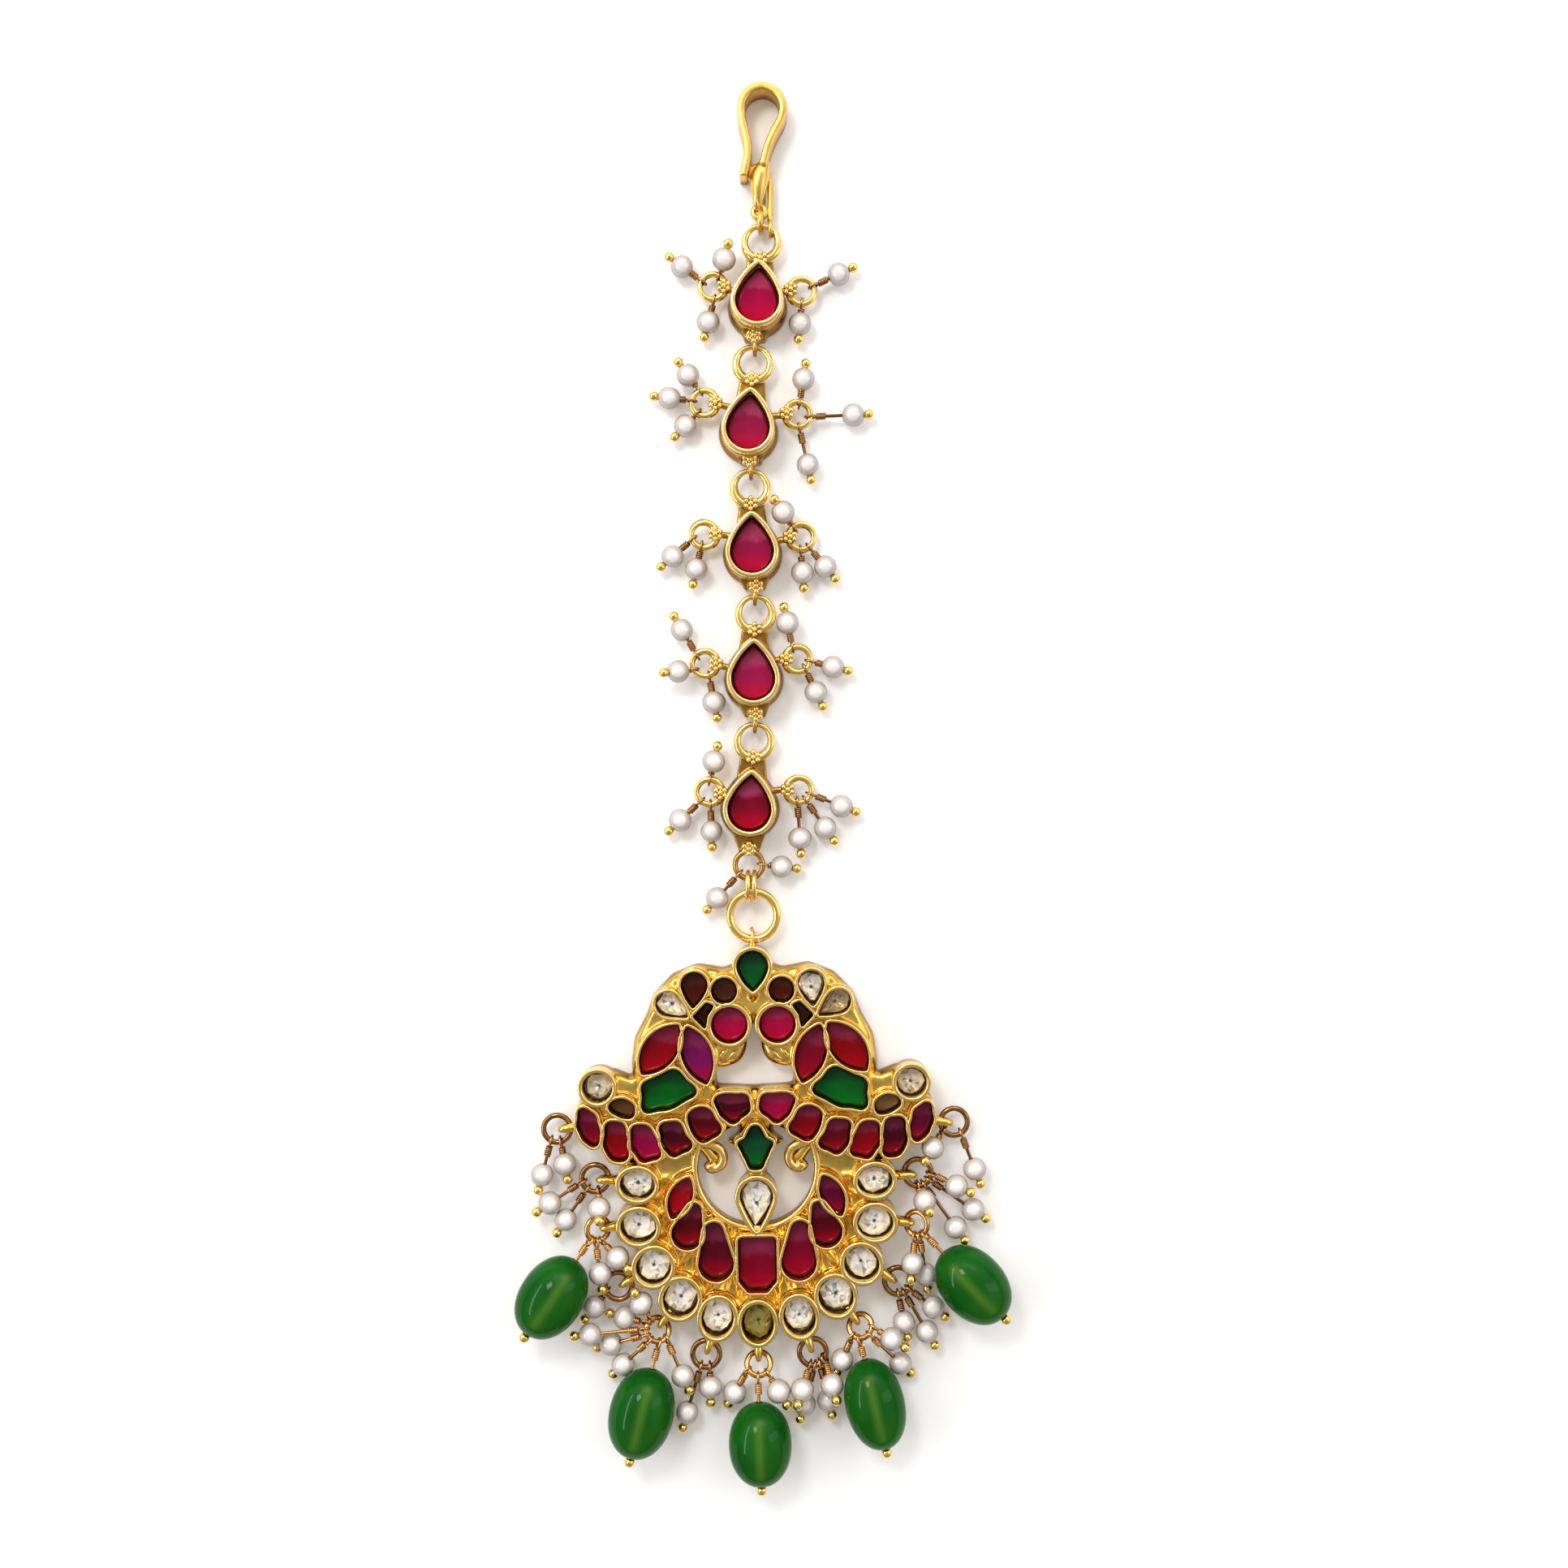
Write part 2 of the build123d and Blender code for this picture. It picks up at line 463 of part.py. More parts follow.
def pendant_ring():
    """The large split ring, with its thin saw cut near the pendant."""
    ring = flat_ring(BIG_RING_AT, BIG_RING_R, BIG_RING_WIRE, BIG_RING_LEVEL)
    cut = Pos(*BIG_RING_AT, BIG_RING_LEVEL) * Rot(0, 0, -78) * Pos(BIG_RING_R, 0, 0) * Box(2, 0.15, 2)
    return ring - cut


def joiner_drops():
    """Two pearls on the last link's ring and one inside the large ring."""
    rows = [
        (LAST_RING_AT, LAST_RING_R, 2, (1.9, -9.3, 1.5)),
        (LAST_RING_AT, LAST_RING_R, 222, (-5.7, -13.0, 1.45)),
    ]
    pins, pearls = [], []
    for hub, radius, angle, middle in rows:
        level = Vector(*hub, BIG_RING_LEVEL)
        made = pin_and_drop(level, Vector(0, 0, 1), radius, angle, middle, pearl_body(), BALL_REACH)
        pins.append(made[0])
        pearls.append(made[1])
    return pins, pearls


# ------------------------------------------------------------------ pendant
def mirrored(shape):
    return mirror(shape, about=Plane.YZ)


def half_cells():
    """The cells of the right half, by kind of stone."""
    cells = {}
    for name, rows in ROUND_STONES.items():
        cells.setdefault(name, []).extend([Pos(x, y) * Circle(width / 2) for x, y, width in rows])
    for name, rows in LEAF_STONES.items():
        cells.setdefault(name, []).extend([leaf(*row) for row in rows])
    for name, rows in PEAR_STONES.items():
        cells.setdefault(name, []).extend([pear(*row) for row in rows])
    for name, rows in EGG_STONES.items():
        cells.setdefault(name, []).extend([egg(*row) for row in rows])
    for name, rows in CUT_STONES.items():
        cells.setdefault(name, []).extend([rounded(points, radius) for points, radius in rows])
    cells["border_polki"] = [cushion(row["at"], row["size"], row["turn"]) for row in BORDER]
    return cells


def middle_cells():
    return {
        "green_pear": pear(*GREEN_PEAR),
        "emerald_kite": outline(KITE),
        "polki_drop": pear(*POLKI_DROP),
        "crescent_ruby": rounded(MIDDLE_RUBY, 0.45),
        "lowest_polki": cushion(LOWEST["at"], LOWEST["size"], LOWEST["turn"]),
    }


def eyes():
    """Each upright wire eye on the pendant's edge: number, middle and the way it points."""
    rows = [(1, COLLAR_EYE_AT, COLLAR_EYE_WAY)]
    rows += [(k + 2, spot(row["at"], row["eye"], EYE_FROM_STONE), row["eye"]) for k, row in enumerate(BORDER)]
    both = rows + [(-number, (-at[0], at[1]), 180 - way) for number, at, way in rows]
    return both + [(7, spot(LOWEST["at"], LOWEST["eye"], EYE_FROM_STONE + 0.3), LOWEST["eye"])]


def pendant_frame(cells, middles):
    """The cast plate with its raised stone cups, open crescent, beaks, curls and edge eyes."""
    halves = [cell for group in cells.values() for cell in group]
    everything = halves + [mirrored(cell) for cell in halves] + list(middles.values())
    walls = Sketch() + [grown(cell, RIM) for cell in everything]
    body = extrude(walls, BEZEL_TOP)
    fan = grown(grown(outline(PLATES[0]), -PLATE_CORNER), PLATE_CORNER)
    plate = Sketch() + (outline(CRESCENT_PLATE) - Circle(INNER_R)) + fan + [outline(points) for points in PLATES[1:]]
    plate += mirrored(plate)
    body += extrude(plate, PLATE_TOP)
    rim = Circle(INNER_R + INNER_RIM) - Circle(INNER_R) - Pos(0, 13.2) * Rectangle(30, 20)
    body += extrude(rim, BEZEL_TOP - 0.3)
    extras = Sketch() + [rounded(BEAK, 0.25), outline(KITE_FIN), outline(CURL_STEM), Pos(*CURL_AT) * Circle(CURL_R)]
    extras += mirrored(extras)
    body += extrude(extras, BEZEL_TOP - 0.8)
    for number, at, way in eyes():
        body += upright_loop(at, way, EYE_R, EYE_WIRE)
    body += upright_loop((0, 26.95), 90, 1.2, 0.3, 1.55)
    bores = Sketch() + everything
    return body - Pos(0, 0, CELL_FLOOR) * extrude(bores, BEZEL_TOP)


def edge_rings():
    """Jump rings through the pendant's eyes: middle, normal and solid of each."""
    rings = {}
    for number, at, way in eyes():
        tilt = radians(TILTED_RINGS.get(number, 0))
        out = Vector(cos(radians(way)), sin(radians(way)), 0)
        hub = Vector(*at, WIRE_LEVEL) + (out * cos(tilt) + Vector(0, 0, sin(tilt))) * JUMP_R
        normal = Vector(0, 0, cos(tilt)) - out * sin(tilt)
        rings[number] = (hub, normal, Plane(hub, z_dir=normal) * Torus(JUMP_R, JUMP_WIRE))
    return rings


# ------------------------------------------------------------------ nodes
nodes = {}
nodes["hair_hook"] = [hair_hook()]
nodes["hook_links"] = hook_links()
for index in range(len(LINKS)):
    nodes[f"link_{index + 1}"] = [chain_link(index)]
    nodes[f"link_stone_{index + 1}"] = [link_stone(index)]
    nodes[f"link_pins_{index + 1}"], nodes[f"link_pearls_{index + 1}"] = link_drops(index)
nodes["joiner_rings"] = joiner_rings()
nodes["pendant_ring"] = [pendant_ring()]
nodes["joiner_pins"], nodes["joiner_pearls"] = joiner_drops()

half = half_cells()
middle = middle_cells()
pendant = {"pendant_frame": [pendant_frame(half, middle)]}
for name in ("ruby_head", "ruby_wing", "emerald_tail", "collar_ruby", "fan_garnet"):
    stones = [cut_stone(cell) for cell in half[name]]
    pendant[f"{name}_right"] = stones
    pendant[f"{name}_left"] = [mirrored(stone) for stone in stones]
for name in ("fan_polki", "scroll_polki", "scroll_garnet", "border_polki", "crescent_ruby"):
    stones = [cut_stone(cell) for cell in half[name]]
    pendant[name] = stones + [mirrored(stone) for stone in stones]
pendant["crescent_ruby"].append(cut_stone(middle["crescent_ruby"]))
for name in ("green_pear", "emerald_kite", "polki_drop", "lowest_polki"):
    pendant[name] = [cut_stone(middle[name])]

rings = edge_rings()
pendant["edge_rings"] = [ring for hub, normal, ring in rings.values()]
for group, rows in PEARL_DROPS.items():
    made = [
        pin_and_drop(*rings[number][:2], JUMP_R, angle, at, pearl_body(), BALL_REACH)
        for number, angle, at in rows
    ]
    pendant[f"cluster_pins_{group}"] = [pair[0] for pair in made]
    pendant[f"cluster_pearls_{group}"] = [pair[1] for pair in made]
pendant["bead_pins"] = []
for index, (number, angle, at, width, length) in enumerate(BEADS):
    body = bead_body(width, length)
    made = pin_and_drop(*rings[number][:2], JUMP_R, angle, at, body, length / 2 + BEAD_BALL_REACH)
    pendant["bead_pins"].append(made[0])
    pendant[f"green_bead_{index + 1}"] = [made[1]]

place = Pos(*PENDANT_AT, 0) * Rot(0, 0, PENDANT_TURN)
for name, solids in pendant.items():
    nodes[name] = [place * solid for solid in solids]

# The origin is under the middle of the whole piece, on the surface that it lies on.
boxes = [solid.bounding_box() for solids in nodes.values() for solid in solids]
middle_x = (min(box.min.X for box in boxes) + max(box.max.X for box in boxes)) / 2
middle_y = (min(box.min.Y for box in boxes) + max(box.max.Y for box in boxes)) / 2
lowest = min(box.min.Z for box in boxes)
shift = Pos(-middle_x, -middle_y, -lowest)
print(f"shift {-middle_x:.3f} {-middle_y:.3f} {-lowest:.3f}")

os.makedirs("parts", exist_ok=True)
for name, solids in nodes.items():
    export_step(Compound(children=[shift * solid for solid in solids]), f"parts/{name}.step")
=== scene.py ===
import math
import random

import bpy
import numpy as np
from mathutils import Matrix, Vector
from mathutils.kdtree import KDTree
from numpy.linalg import norm, svd


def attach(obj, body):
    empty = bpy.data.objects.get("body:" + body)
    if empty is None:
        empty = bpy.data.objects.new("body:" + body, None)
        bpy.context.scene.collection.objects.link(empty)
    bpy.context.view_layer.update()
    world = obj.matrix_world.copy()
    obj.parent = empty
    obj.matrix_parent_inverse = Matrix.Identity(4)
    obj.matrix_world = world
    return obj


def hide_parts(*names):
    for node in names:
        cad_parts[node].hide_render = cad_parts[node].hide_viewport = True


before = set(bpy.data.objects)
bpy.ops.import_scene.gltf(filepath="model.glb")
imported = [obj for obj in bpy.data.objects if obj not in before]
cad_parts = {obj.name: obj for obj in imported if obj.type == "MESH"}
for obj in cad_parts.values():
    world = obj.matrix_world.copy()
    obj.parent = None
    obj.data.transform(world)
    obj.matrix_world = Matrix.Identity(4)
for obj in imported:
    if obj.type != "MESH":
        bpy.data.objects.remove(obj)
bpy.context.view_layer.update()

# ---- the pendant's casting
# The pendant's body is one gold casting: a flat plate that rolls down at its edge, with a raised
# cup round every stone. It was filed and polished after casting, so every edge is soft; its finish
# has painted shade in the hollows and painted light on top.
MM = 0.001  # sizes are in millimetres, here and in the sections below
WELD = 3  # decimals at which two corners count as one
UNDERSIDE = 0.01  # how far a flat underside may rise
FEWEST_POINTS = 12
STONE_STEP = 0.11  # between the points of a stone's outline
EDGE_STEP = 0.2  # between the points of the plate's edge
CASTING_GRAIN = 0.15  # finest detail of the casting
CASTING_POLISH = 6  # rounds of polishing before the ridges are raised
LAST_POLISH = 24  # rounds of polishing after them
CASTING_SHARE = 0.3  # share of the facets kept where the casting is flat
PLATE_TOP = 1.0
CUP_HEIGHT = 2.0  # of the cups over the plate, before they are trimmed
WALL_TOP = 2.86  # the cups stop a little under the burnished rims
CELL_FLOOR = 1.5
FLOOR_LIMIT = 1.62  # what lies lower inside a cell is its floor
SHOULDER = 2.15  # height of the cup's wall at the stone
SHOULDER_FROM = 0.12
SHOULDER_WIDTH = 0.3
ROLL_WIDTH = 0.9  # edge of the plate that rolls down
FIELD_NORTH = [-2, 1.5, 8.5, 11]
FIELD_LIFT = [1.1, 1.25, 1.25, 1.4]
RUBY_LIFT = 1.45  # the field swells round the crescent's rubies
RUBY_REACH = 1.05
RUBY_SLOPE = 0.45
RIDGE_WIDTH = 0.85  # ridges that join the crescent to its border stones
RIDGE_LIFT = 1.75
PENDANT_AT = (-0.863, -44.944)
PENDANT_TURN = math.radians(1.0)


def corners_of(mesh):
    flat = np.empty(len(mesh.vertices) * 3, np.float32)
    mesh.vertices.foreach_get("co", flat)
    return flat.reshape(-1, 3)


def read_solids(node):
    """The separate solids of a CAD node from left to right: corners in millimetres, and triangles."""
    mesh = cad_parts[node].data
    welded, same = np.unique(np.round(corners_of(mesh) / MM, WELD), axis=0, return_inverse=True)
    mesh.calc_loop_triangles()
    faces = np.empty(len(mesh.loop_triangles) * 3, np.int32)
    mesh.loop_triangles.foreach_get("vertices", faces)
    faces = same.reshape(-1)[faces].reshape(-1, 3)
    label = np.arange(len(welded))
    while True:
        lowest = label[faces].min(axis=1)
        joined = label.copy()
        np.minimum.at(joined, faces.ravel(), np.repeat(lowest, 3))
        joined = joined[joined]
        if (joined == label).all():
            break
        label = joined
    solids = []
    for one in np.unique(label[faces[:, 0]]):
        used, renumbered = np.unique(faces[label[faces[:, 0]] == one], return_inverse=True)
        solids.append((welded[used], renumbered.reshape(-1, 3)))
    return solids


def bottom_loops(corners, faces):
    """The edges of a solid's flat underside, each loop running anticlockwise seen from above."""
    floor = corners[:, 2].min() + UNDERSIDE
    under = faces[(corners[faces][:, :, 2] < floor).all(axis=1)]
    ways = {(int(a), int(b)) for t in under for a, b in ((t[0], t[1]), (t[1], t[2]), (t[2], t[0]))}
    onward = {b: a for a, b in ways if (b, a) not in ways}
    loops = []
    while onward:
        here = next(iter(onward))
        loop = []
        while here in onward:
            loop.append(here)
            here = onward.pop(here)
        loops.append(corners[loop][:, :2])
    return loops


def even_steps(loop, step):
    """The same closed line, with points at even distances."""
    closed = np.vstack([loop, loop[:1]])
    run = np.concatenate([[0], np.cumsum(norm(np.diff(closed, axis=0), axis=1))])
    count = max(FEWEST_POINTS, int(round(run[-1] / step)))
    at = np.linspace(0, run[-1], count, endpoint=False)
    return np.column_stack([np.interp(at, run, closed[:, k]) for k in (0, 1)])


def nearness(marks, points):
    """How far each point is from the nearest mark, seen from above."""
    tree = KDTree(len(marks))
    for index, mark in enumerate(marks):
        tree.insert((mark[0], mark[1], 0), index)
    tree.balance()
    return np.array([tree.find((x, y, 0))[2] for x, y in points[:, :2]])


def inside(loops, points):
    """Which points lie inside closed lines, counting crossings of the lines."""
    hits = np.zeros(len(points), int)
    x, y = points[:, 0], points[:, 1]
    for loop in loops:
        for (ax, ay), (bx, by) in zip(loop, np.roll(loop, -1, axis=0)):
            if ay != by:
                hits += ((ay > y) != (by > y)) & (x < (bx - ax) * (y - ay) / (by - ay) + ax)
    return hits % 2 == 1


def rounder(loop, keep):
    """A closed line with its corners taken out, leaving a few broad waves."""
    waves = np.fft.fft(loop[:, 0] + 1j * loop[:, 1])
    number = np.abs(np.fft.fftfreq(len(loop), 1 / len(loop)))
    line = np.fft.ifft(np.where(number <= keep, waves, 0))
    return np.column_stack([line.real, line.imag])


def grown_line(loop, amount):
    """A closed anticlockwise line, moved outward."""
    way = np.roll(loop, -1, axis=0) - np.roll(loop, 1, axis=0)
    out_way = np.column_stack([way[:, 1], -way[:, 0]]) / norm(way, axis=1, keepdims=True)
    return loop + out_way * amount


def eased(share):
    """A share from 0 to 1 with soft ends."""
    share = np.clip(share, 0, 1)
    return share * share * (3 - 2 * share)


def from_pendant(points):
    """Points of the pendant's own frame, in the common one."""
    x, y = np.asarray(points, float).T[:2]
    c, s = math.cos(PENDANT_TURN), math.sin(PENDANT_TURN)
    return np.column_stack([PENDANT_AT[0] + x * c - y * s, PENDANT_AT[1] + x * s + y * c])


def new_piece(name, mesh, finish):
    piece = bpy.data.objects.new(name, mesh)
    bpy.context.scene.collection.objects.link(piece)
    mesh.materials.clear()
    mesh.materials.append(finish)
    return piece


def fit(piece, slot, *nodes):
    """Fixes a piece to the jewel and hides the CAD nodes that it stands for; the slot is not used."""
    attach(piece, "root")
    if nodes:
        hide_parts(*nodes)


def plain_mesh(block):
    """The mesh that an object's modifiers make, after which the object goes."""
    made = bpy.data.meshes.new_from_object(block.evaluated_get(bpy.context.evaluated_depsgraph_get()))
    bpy.data.objects.remove(block)
    return made


def worked(name, mesh, steps):
    """A mesh after each step of work on it: the kind of modifier, and its settings."""
    block = bpy.data.objects.new(name, mesh)
    bpy.context.scene.collection.objects.link(block)
    for kind, settings in steps:
        work = block.modifiers.new(kind.lower(), kind)
        for key, value in settings.items():
            setattr(work, key, value)
    return plain_mesh(block)


def polishing(rounds):
    return ("SMOOTH", {"factor": 0.5, "iterations": rounds})


def softened(node, grain, polish, share=1.0, swell=0.0):
    """A copy of a CAD shape with soft edges all over, as polished castings have, in millimetres."""
    corners, faces, count = [], [], 0
    for solid_corners, solid_faces in read_solids(node):
        corners.append(solid_corners)
        faces.append(solid_faces + count)
        count += len(solid_corners)
    rough = bpy.data.meshes.new(node + "_rough")
    rough.from_pydata(np.vstack(corners).tolist(), [], np.vstack(faces).tolist())
    steps = [("REMESH", {"mode": "VOXEL", "voxel_size": grain, "use_smooth_shade": True}), polishing(polish)]
    if share < 1:
        steps += [("DECIMATE", {"ratio": share}), polishing(2)]
    made = worked(node + "_rough", rough, steps)
    if swell:
        ways = np.empty(len(made.vertices) * 3, np.float32)
        made.vertex_normals.foreach_get("vector", ways)
        made.vertices.foreach_set("co", corners_of(made).ravel() + ways * swell)
        made.update()
    return made


def add(tree, kind, values=None, **settings):
    """A node with its settings, and with each input set to a value or linked to an output."""
    made = tree.nodes.new(kind)
    for key, value in settings.items():
        setattr(made, key, value)
    for key, value in (values or {}).items():
        if isinstance(value, bpy.types.NodeSocket):
            tree.links.new(value, made.inputs[key])
        else:
            made.inputs[key].default_value = value
    return made


def out(tree, kind, values=None, give=0, **settings):
    """What a new node puts out."""
    return add(tree, kind, values, **settings).outputs[give]


def join(tree, sockets, **outputs):
    """Links each output to the socket of its name."""
    for label, output in outputs.items():
        tree.links.new(output, sockets[label.replace("_", " ")])


def maths(tree, way, *values):
    return out(tree, "ShaderNodeMath", dict(enumerate(values)), operation=way)


def times(tree, first, second):
    return maths(tree, "MULTIPLY", first, second)


def scaled(tree, vector, by):
    return out(tree, "ShaderNodeVectorMath", {0: vector, "Scale": by}, operation="SCALE")


def noise(tree, place, scale, detail, give="Fac", twist=0.0):
    values = {"Vector": place, "Scale": scale, "Detail": detail, "Distortion": twist}
    return out(tree, "ShaderNodeTexNoise", values, give)


def ramp(tree, value, low, high, start=0.0, end=1.0, ends="SMOOTHSTEP"):
    """A value brought from one range to another, with soft ends."""
    values = {"Value": value, "From Min": low, "From Max": high, "To Min": start, "To Max": end}
    return out(tree, "ShaderNodeMapRange", values, interpolation_type=ends)


def blend(tree, share, first, second):
    """A mix of two colours that are values or outputs."""
    mix = add(tree, "ShaderNodeMix", {"Factor": share}, data_type="RGBA")
    for socket in mix.inputs:
        if socket.type == "RGBA":
            side = first if socket.name == "A" else second
            if isinstance(side, bpy.types.NodeSocket):
                tree.links.new(side, socket)
            else:
                socket.default_value = side
    return next(socket for socket in mix.outputs if socket.type == "RGBA")


SOCKET_KINDS = {tuple: "NodeSocketColor", float: "NodeSocketFloat", int: "NodeSocketInt"}
LOOK = {"Color": "NodeSocketColor", "Roughness": "NodeSocketFloat", "Height": "NodeSocketFloat"}


def new_tree(kind, name, inputs, outputs):
    """An empty tree, what it takes and what it gives; a socket has a first value, or only a kind."""
    tree = bpy.data.node_groups.new(name, kind)
    for way, sockets in (("INPUT", inputs), ("OUTPUT", outputs)):
        for label, value in sockets.items():
            socket_kind = value if isinstance(value, str) else SOCKET_KINDS[type(value)]
            socket = tree.interface.new_socket(label, in_out=way, socket_type=socket_kind)
            if value != socket_kind:
                socket.default_value = value
    return tree, tree.nodes.new("NodeGroupInput").outputs, tree.nodes.new("NodeGroupOutput").inputs


def new_finish(name, **plain):
    """A material with a principled shader whose plain values are set on its own sockets."""
    finish = bpy.data.materials.new(name)
    finish.use_nodes = True
    shader = finish.node_tree.nodes["Principled BSDF"]
    for key, value in plain.items():
        shader.inputs[key.replace("_", " ")].default_value = value
    return finish, finish.node_tree, shader.inputs


def group_finish(name, group, values, strength, depth, **plain):
    """A material whose colour, roughness and bump come from a group with its own values."""
    finish, tree, shader = new_finish(name, **plain)
    look = add(tree, "ShaderNodeGroup", values, node_tree=group).outputs
    bump = {"Height": look["Height"], "Strength": strength, "Distance": depth * MM}
    bump = out(tree, "ShaderNodeBump", bump)
    join(tree, shader, Base_Color=look["Color"], Roughness=look["Roughness"], Normal=bump)
    return finish


# Polished gold: painted shade low down, painted light on top, faint cloudiness and fine hairlines.
polished, taken, given = new_tree(
    "ShaderNodeTree",
    "polished_metal",
    {
        "Painted Shade Colour": (0.3, 0.12, 0.02, 1),
        "Painted Light Colour": (0.93, 0.58, 0.13, 1),
        "Painted Shade Height": 0.0012,
        "Painted Light Height": 0.0024,
        "Least Roughness": 0.2,
        "Most Roughness": 0.38,
    },
    LOOK,
)
place = out(polished, "ShaderNodeTexCoord", give="Object")
cloud = noise(polished, place, 700, 4)
height = out(polished, "ShaderNodeSeparateXYZ", {"Vector": place}, "Z")
uneven = maths(polished, "MULTIPLY_ADD", cloud, 0.0009, -0.00045)
level = maths(polished, "ADD", height, uneven)
# painted shade below the lower height, painted light above the higher one
share = ramp(polished, level, taken["Painted Shade Height"], taken["Painted Light Height"])
join(
    polished,
    given,
    Color=blend(polished, share, taken["Painted Shade Colour"], taken["Painted Light Colour"]),
    Roughness=ramp(polished, cloud, 0.3, 0.7, taken["Least Roughness"], taken["Most Roughness"], "LINEAR"),
    Height=noise(polished, place, 5200, 2),
)


def metal(name, painted_shade_colour, painted_light_colour, low, high, smooth, rough):
    """A polished metal: painted shade darkens it below one height, and painted light brightens it above the
    other.
    """
    values = {"Painted Shade Colour": (*painted_shade_colour, 1), "Painted Light Colour": (*painted_light_colour, 1), "Painted Shade Height": low * MM,
              "Painted Light Height": high * MM, "Least Roughness": smooth, "Most Roughness": rough}
    return group_finish(name, polished, values, 0.05, 0.03, Metallic=1.0)


# Each metal: painted shade colour, painted light colour, the heights of the two, and its roughness.
GOLD = (0.88, 0.58, 0.13)
cast_gold = metal("cast_gold", (0.24, 0.12, 0.018), GOLD, 1.15, 2.6, 0.16, 0.28)

PENDANT_STONES = [
    "ruby_head_left", "ruby_head_right", "ruby_wing_left", "ruby_wing_right", "collar_ruby_left",
    "collar_ruby_right", "crescent_ruby", "emerald_tail_left", "emerald_tail_right", "emerald_kite",
    "green_pear", "fan_garnet_left", "fan_garnet_right", "scroll_garnet", "fan_polki", "scroll_polki",
    "border_polki", "polki_drop", "lowest_polki",
]
LINK_STONES = [f"link_stone_{number}" for number in range(1, 6)]
OVAL = 2  # waves that leave a plain oval
SOFT_STONES = {
    "border_polki": OVAL, "lowest_polki": OVAL, "collar_ruby_left": 7, "collar_ruby_right": 7,
    "scroll_garnet": 5, "emerald_tail_left": 8, "emerald_tail_right": 8, "emerald_kite": 12,
}
STONE_GROWTH = 0.13  # the pendant's stones spread a little over their cells
LINK_GROWTH = 0.01
cells = {
    node: [even_steps(bottom_loops(*solid)[0], STONE_STEP) for solid in read_solids(node)]
    for node in PENDANT_STONES + LINK_STONES
}
girdles = {
    node: [grown_line(line, LINK_GROWTH if node in LINK_STONES else STONE_GROWTH) for line in lines]
    for node, lines in cells.items()
}
for node, keep in SOFT_STONES.items():
    girdles[node] = [rounder(line, keep) for line in (cells if keep == OVAL else girdles)[node]]

pendant_cells = [line for node in PENDANT_STONES for line in cells[node]]
plate_edge = [even_steps(loop, EDGE_STEP) for loop in bottom_loops(*read_solids("pendant_frame")[0])]
casting = softened("pendant_frame", CASTING_GRAIN, CASTING_POLISH)
skin = corners_of(casting)
from_edge = nearness(np.vstack(plate_edge), skin) * inside(plate_edge, skin)
roll = np.clip(from_edge / ROLL_WIDTH, 0, 1)
roll = np.sqrt(roll * (2 - roll))
level = np.interp(skin[:, 1] - PENDANT_AT[1], FIELD_NORTH, FIELD_LIFT)
by_rubies = nearness(np.vstack(cells["crescent_ruby"] + cells["polki_drop"]), skin)
level = np.maximum(level, RUBY_LIFT * eased((RUBY_REACH - by_rubies) / RUBY_SLOPE))

# Ridges run from between the border's cups to the crescent, with dark hollows left between them.
hub = np.array(PENDANT_AT)
border = [line.mean(axis=0) - hub for line in cells["border_polki"] + cells["lowest_polki"]]
border.sort(key=lambda middle: middle[0])
ridge_points = [hub + here * share for here in border for share in np.linspace(0.74, 0.88, 8)]
for here, onward in zip(border, border[1:]):
    ridge_points += [hub + (here + onward) / 2 * share for share in np.linspace(0.72, 0.98, 14)]
ridges = RIDGE_LIFT * eased(1 - nearness(ridge_points, skin) / RIDGE_WIDTH)
lift = np.maximum(level, ridges) * roll
cup = np.clip(skin[:, 2] - PLATE_TOP, 0, None)
raised = PLATE_TOP + lift + cup * (WALL_TOP - PLATE_TOP - lift) / CUP_HEIGHT
shoulder = eased((nearness(np.vstack(pendant_cells), skin) - SHOULDER_FROM) / SHOULDER_WIDTH)
raised = np.minimum(raised, SHOULDER + (WALL_TOP - SHOULDER) * shoulder)
raised = np.where((skin[:, 2] < FLOOR_LIMIT) & inside(pendant_cells, skin), CELL_FLOOR, raised)
skin[:, 2] = np.where(skin[:, 2] > PLATE_TOP, raised, skin[:, 2] * (PLATE_TOP + lift) / PLATE_TOP)
casting.vertices.foreach_set("co", (skin * MM).ravel())
casting.update()
casting = worked("casting", casting, [polishing(LAST_POLISH), ("DECIMATE", {"ratio": CASTING_SHARE})])
fit(new_piece("pendant_body", casting, cast_gold), "gold", "pendant_frame")

# ---- burnished rims round the stones
# Each stone is held by a strip of soft fine gold, pushed down round it by hand and burnished. The
# strip stands just above the casting, is round on top, and wavers slightly.
RIM_ROUNDING = 0.4  # share of its width
SHAPE = "NodeSocketGeometry"
METAL = "NodeSocketMaterial"


def geometry_tree(name, **sizes):
    sizes = {label.replace("_", " "): value for label, value in sizes.items()}
    return new_tree("GeometryNodeTree", name, {"Geometry": SHAPE, **sizes}, {"Geometry": SHAPE})


def close_tree(tree, given, shape, finish):
    """Ends a tree: its instances made real, shaded smooth, and given their finish."""
    single = out(tree, "GeometryNodeRealizeInstances", {"Geometry": shape})
    smooth = out(tree, "GeometryNodeSetShadeSmooth", {"Geometry": single})
    join(tree, given, Geometry=out(tree, "GeometryNodeSetMaterial", {"Geometry": smooth, "Material": finish}))


def grown_mesh(name, start, tree, **sizes):
    """The plain mesh that a tree makes from a starting object, which then goes."""
    bpy.context.scene.collection.objects.link(start)
    grow = start.modifiers.new(name, "NODES")
    grow.node_group = tree
    for item in tree.interface.items_tree:
        label = item.name.replace(" ", "_")
        if item.in_out == "INPUT" and label in sizes:
            grow[item.identifier] = sizes[label]
    return plain_mesh(start)


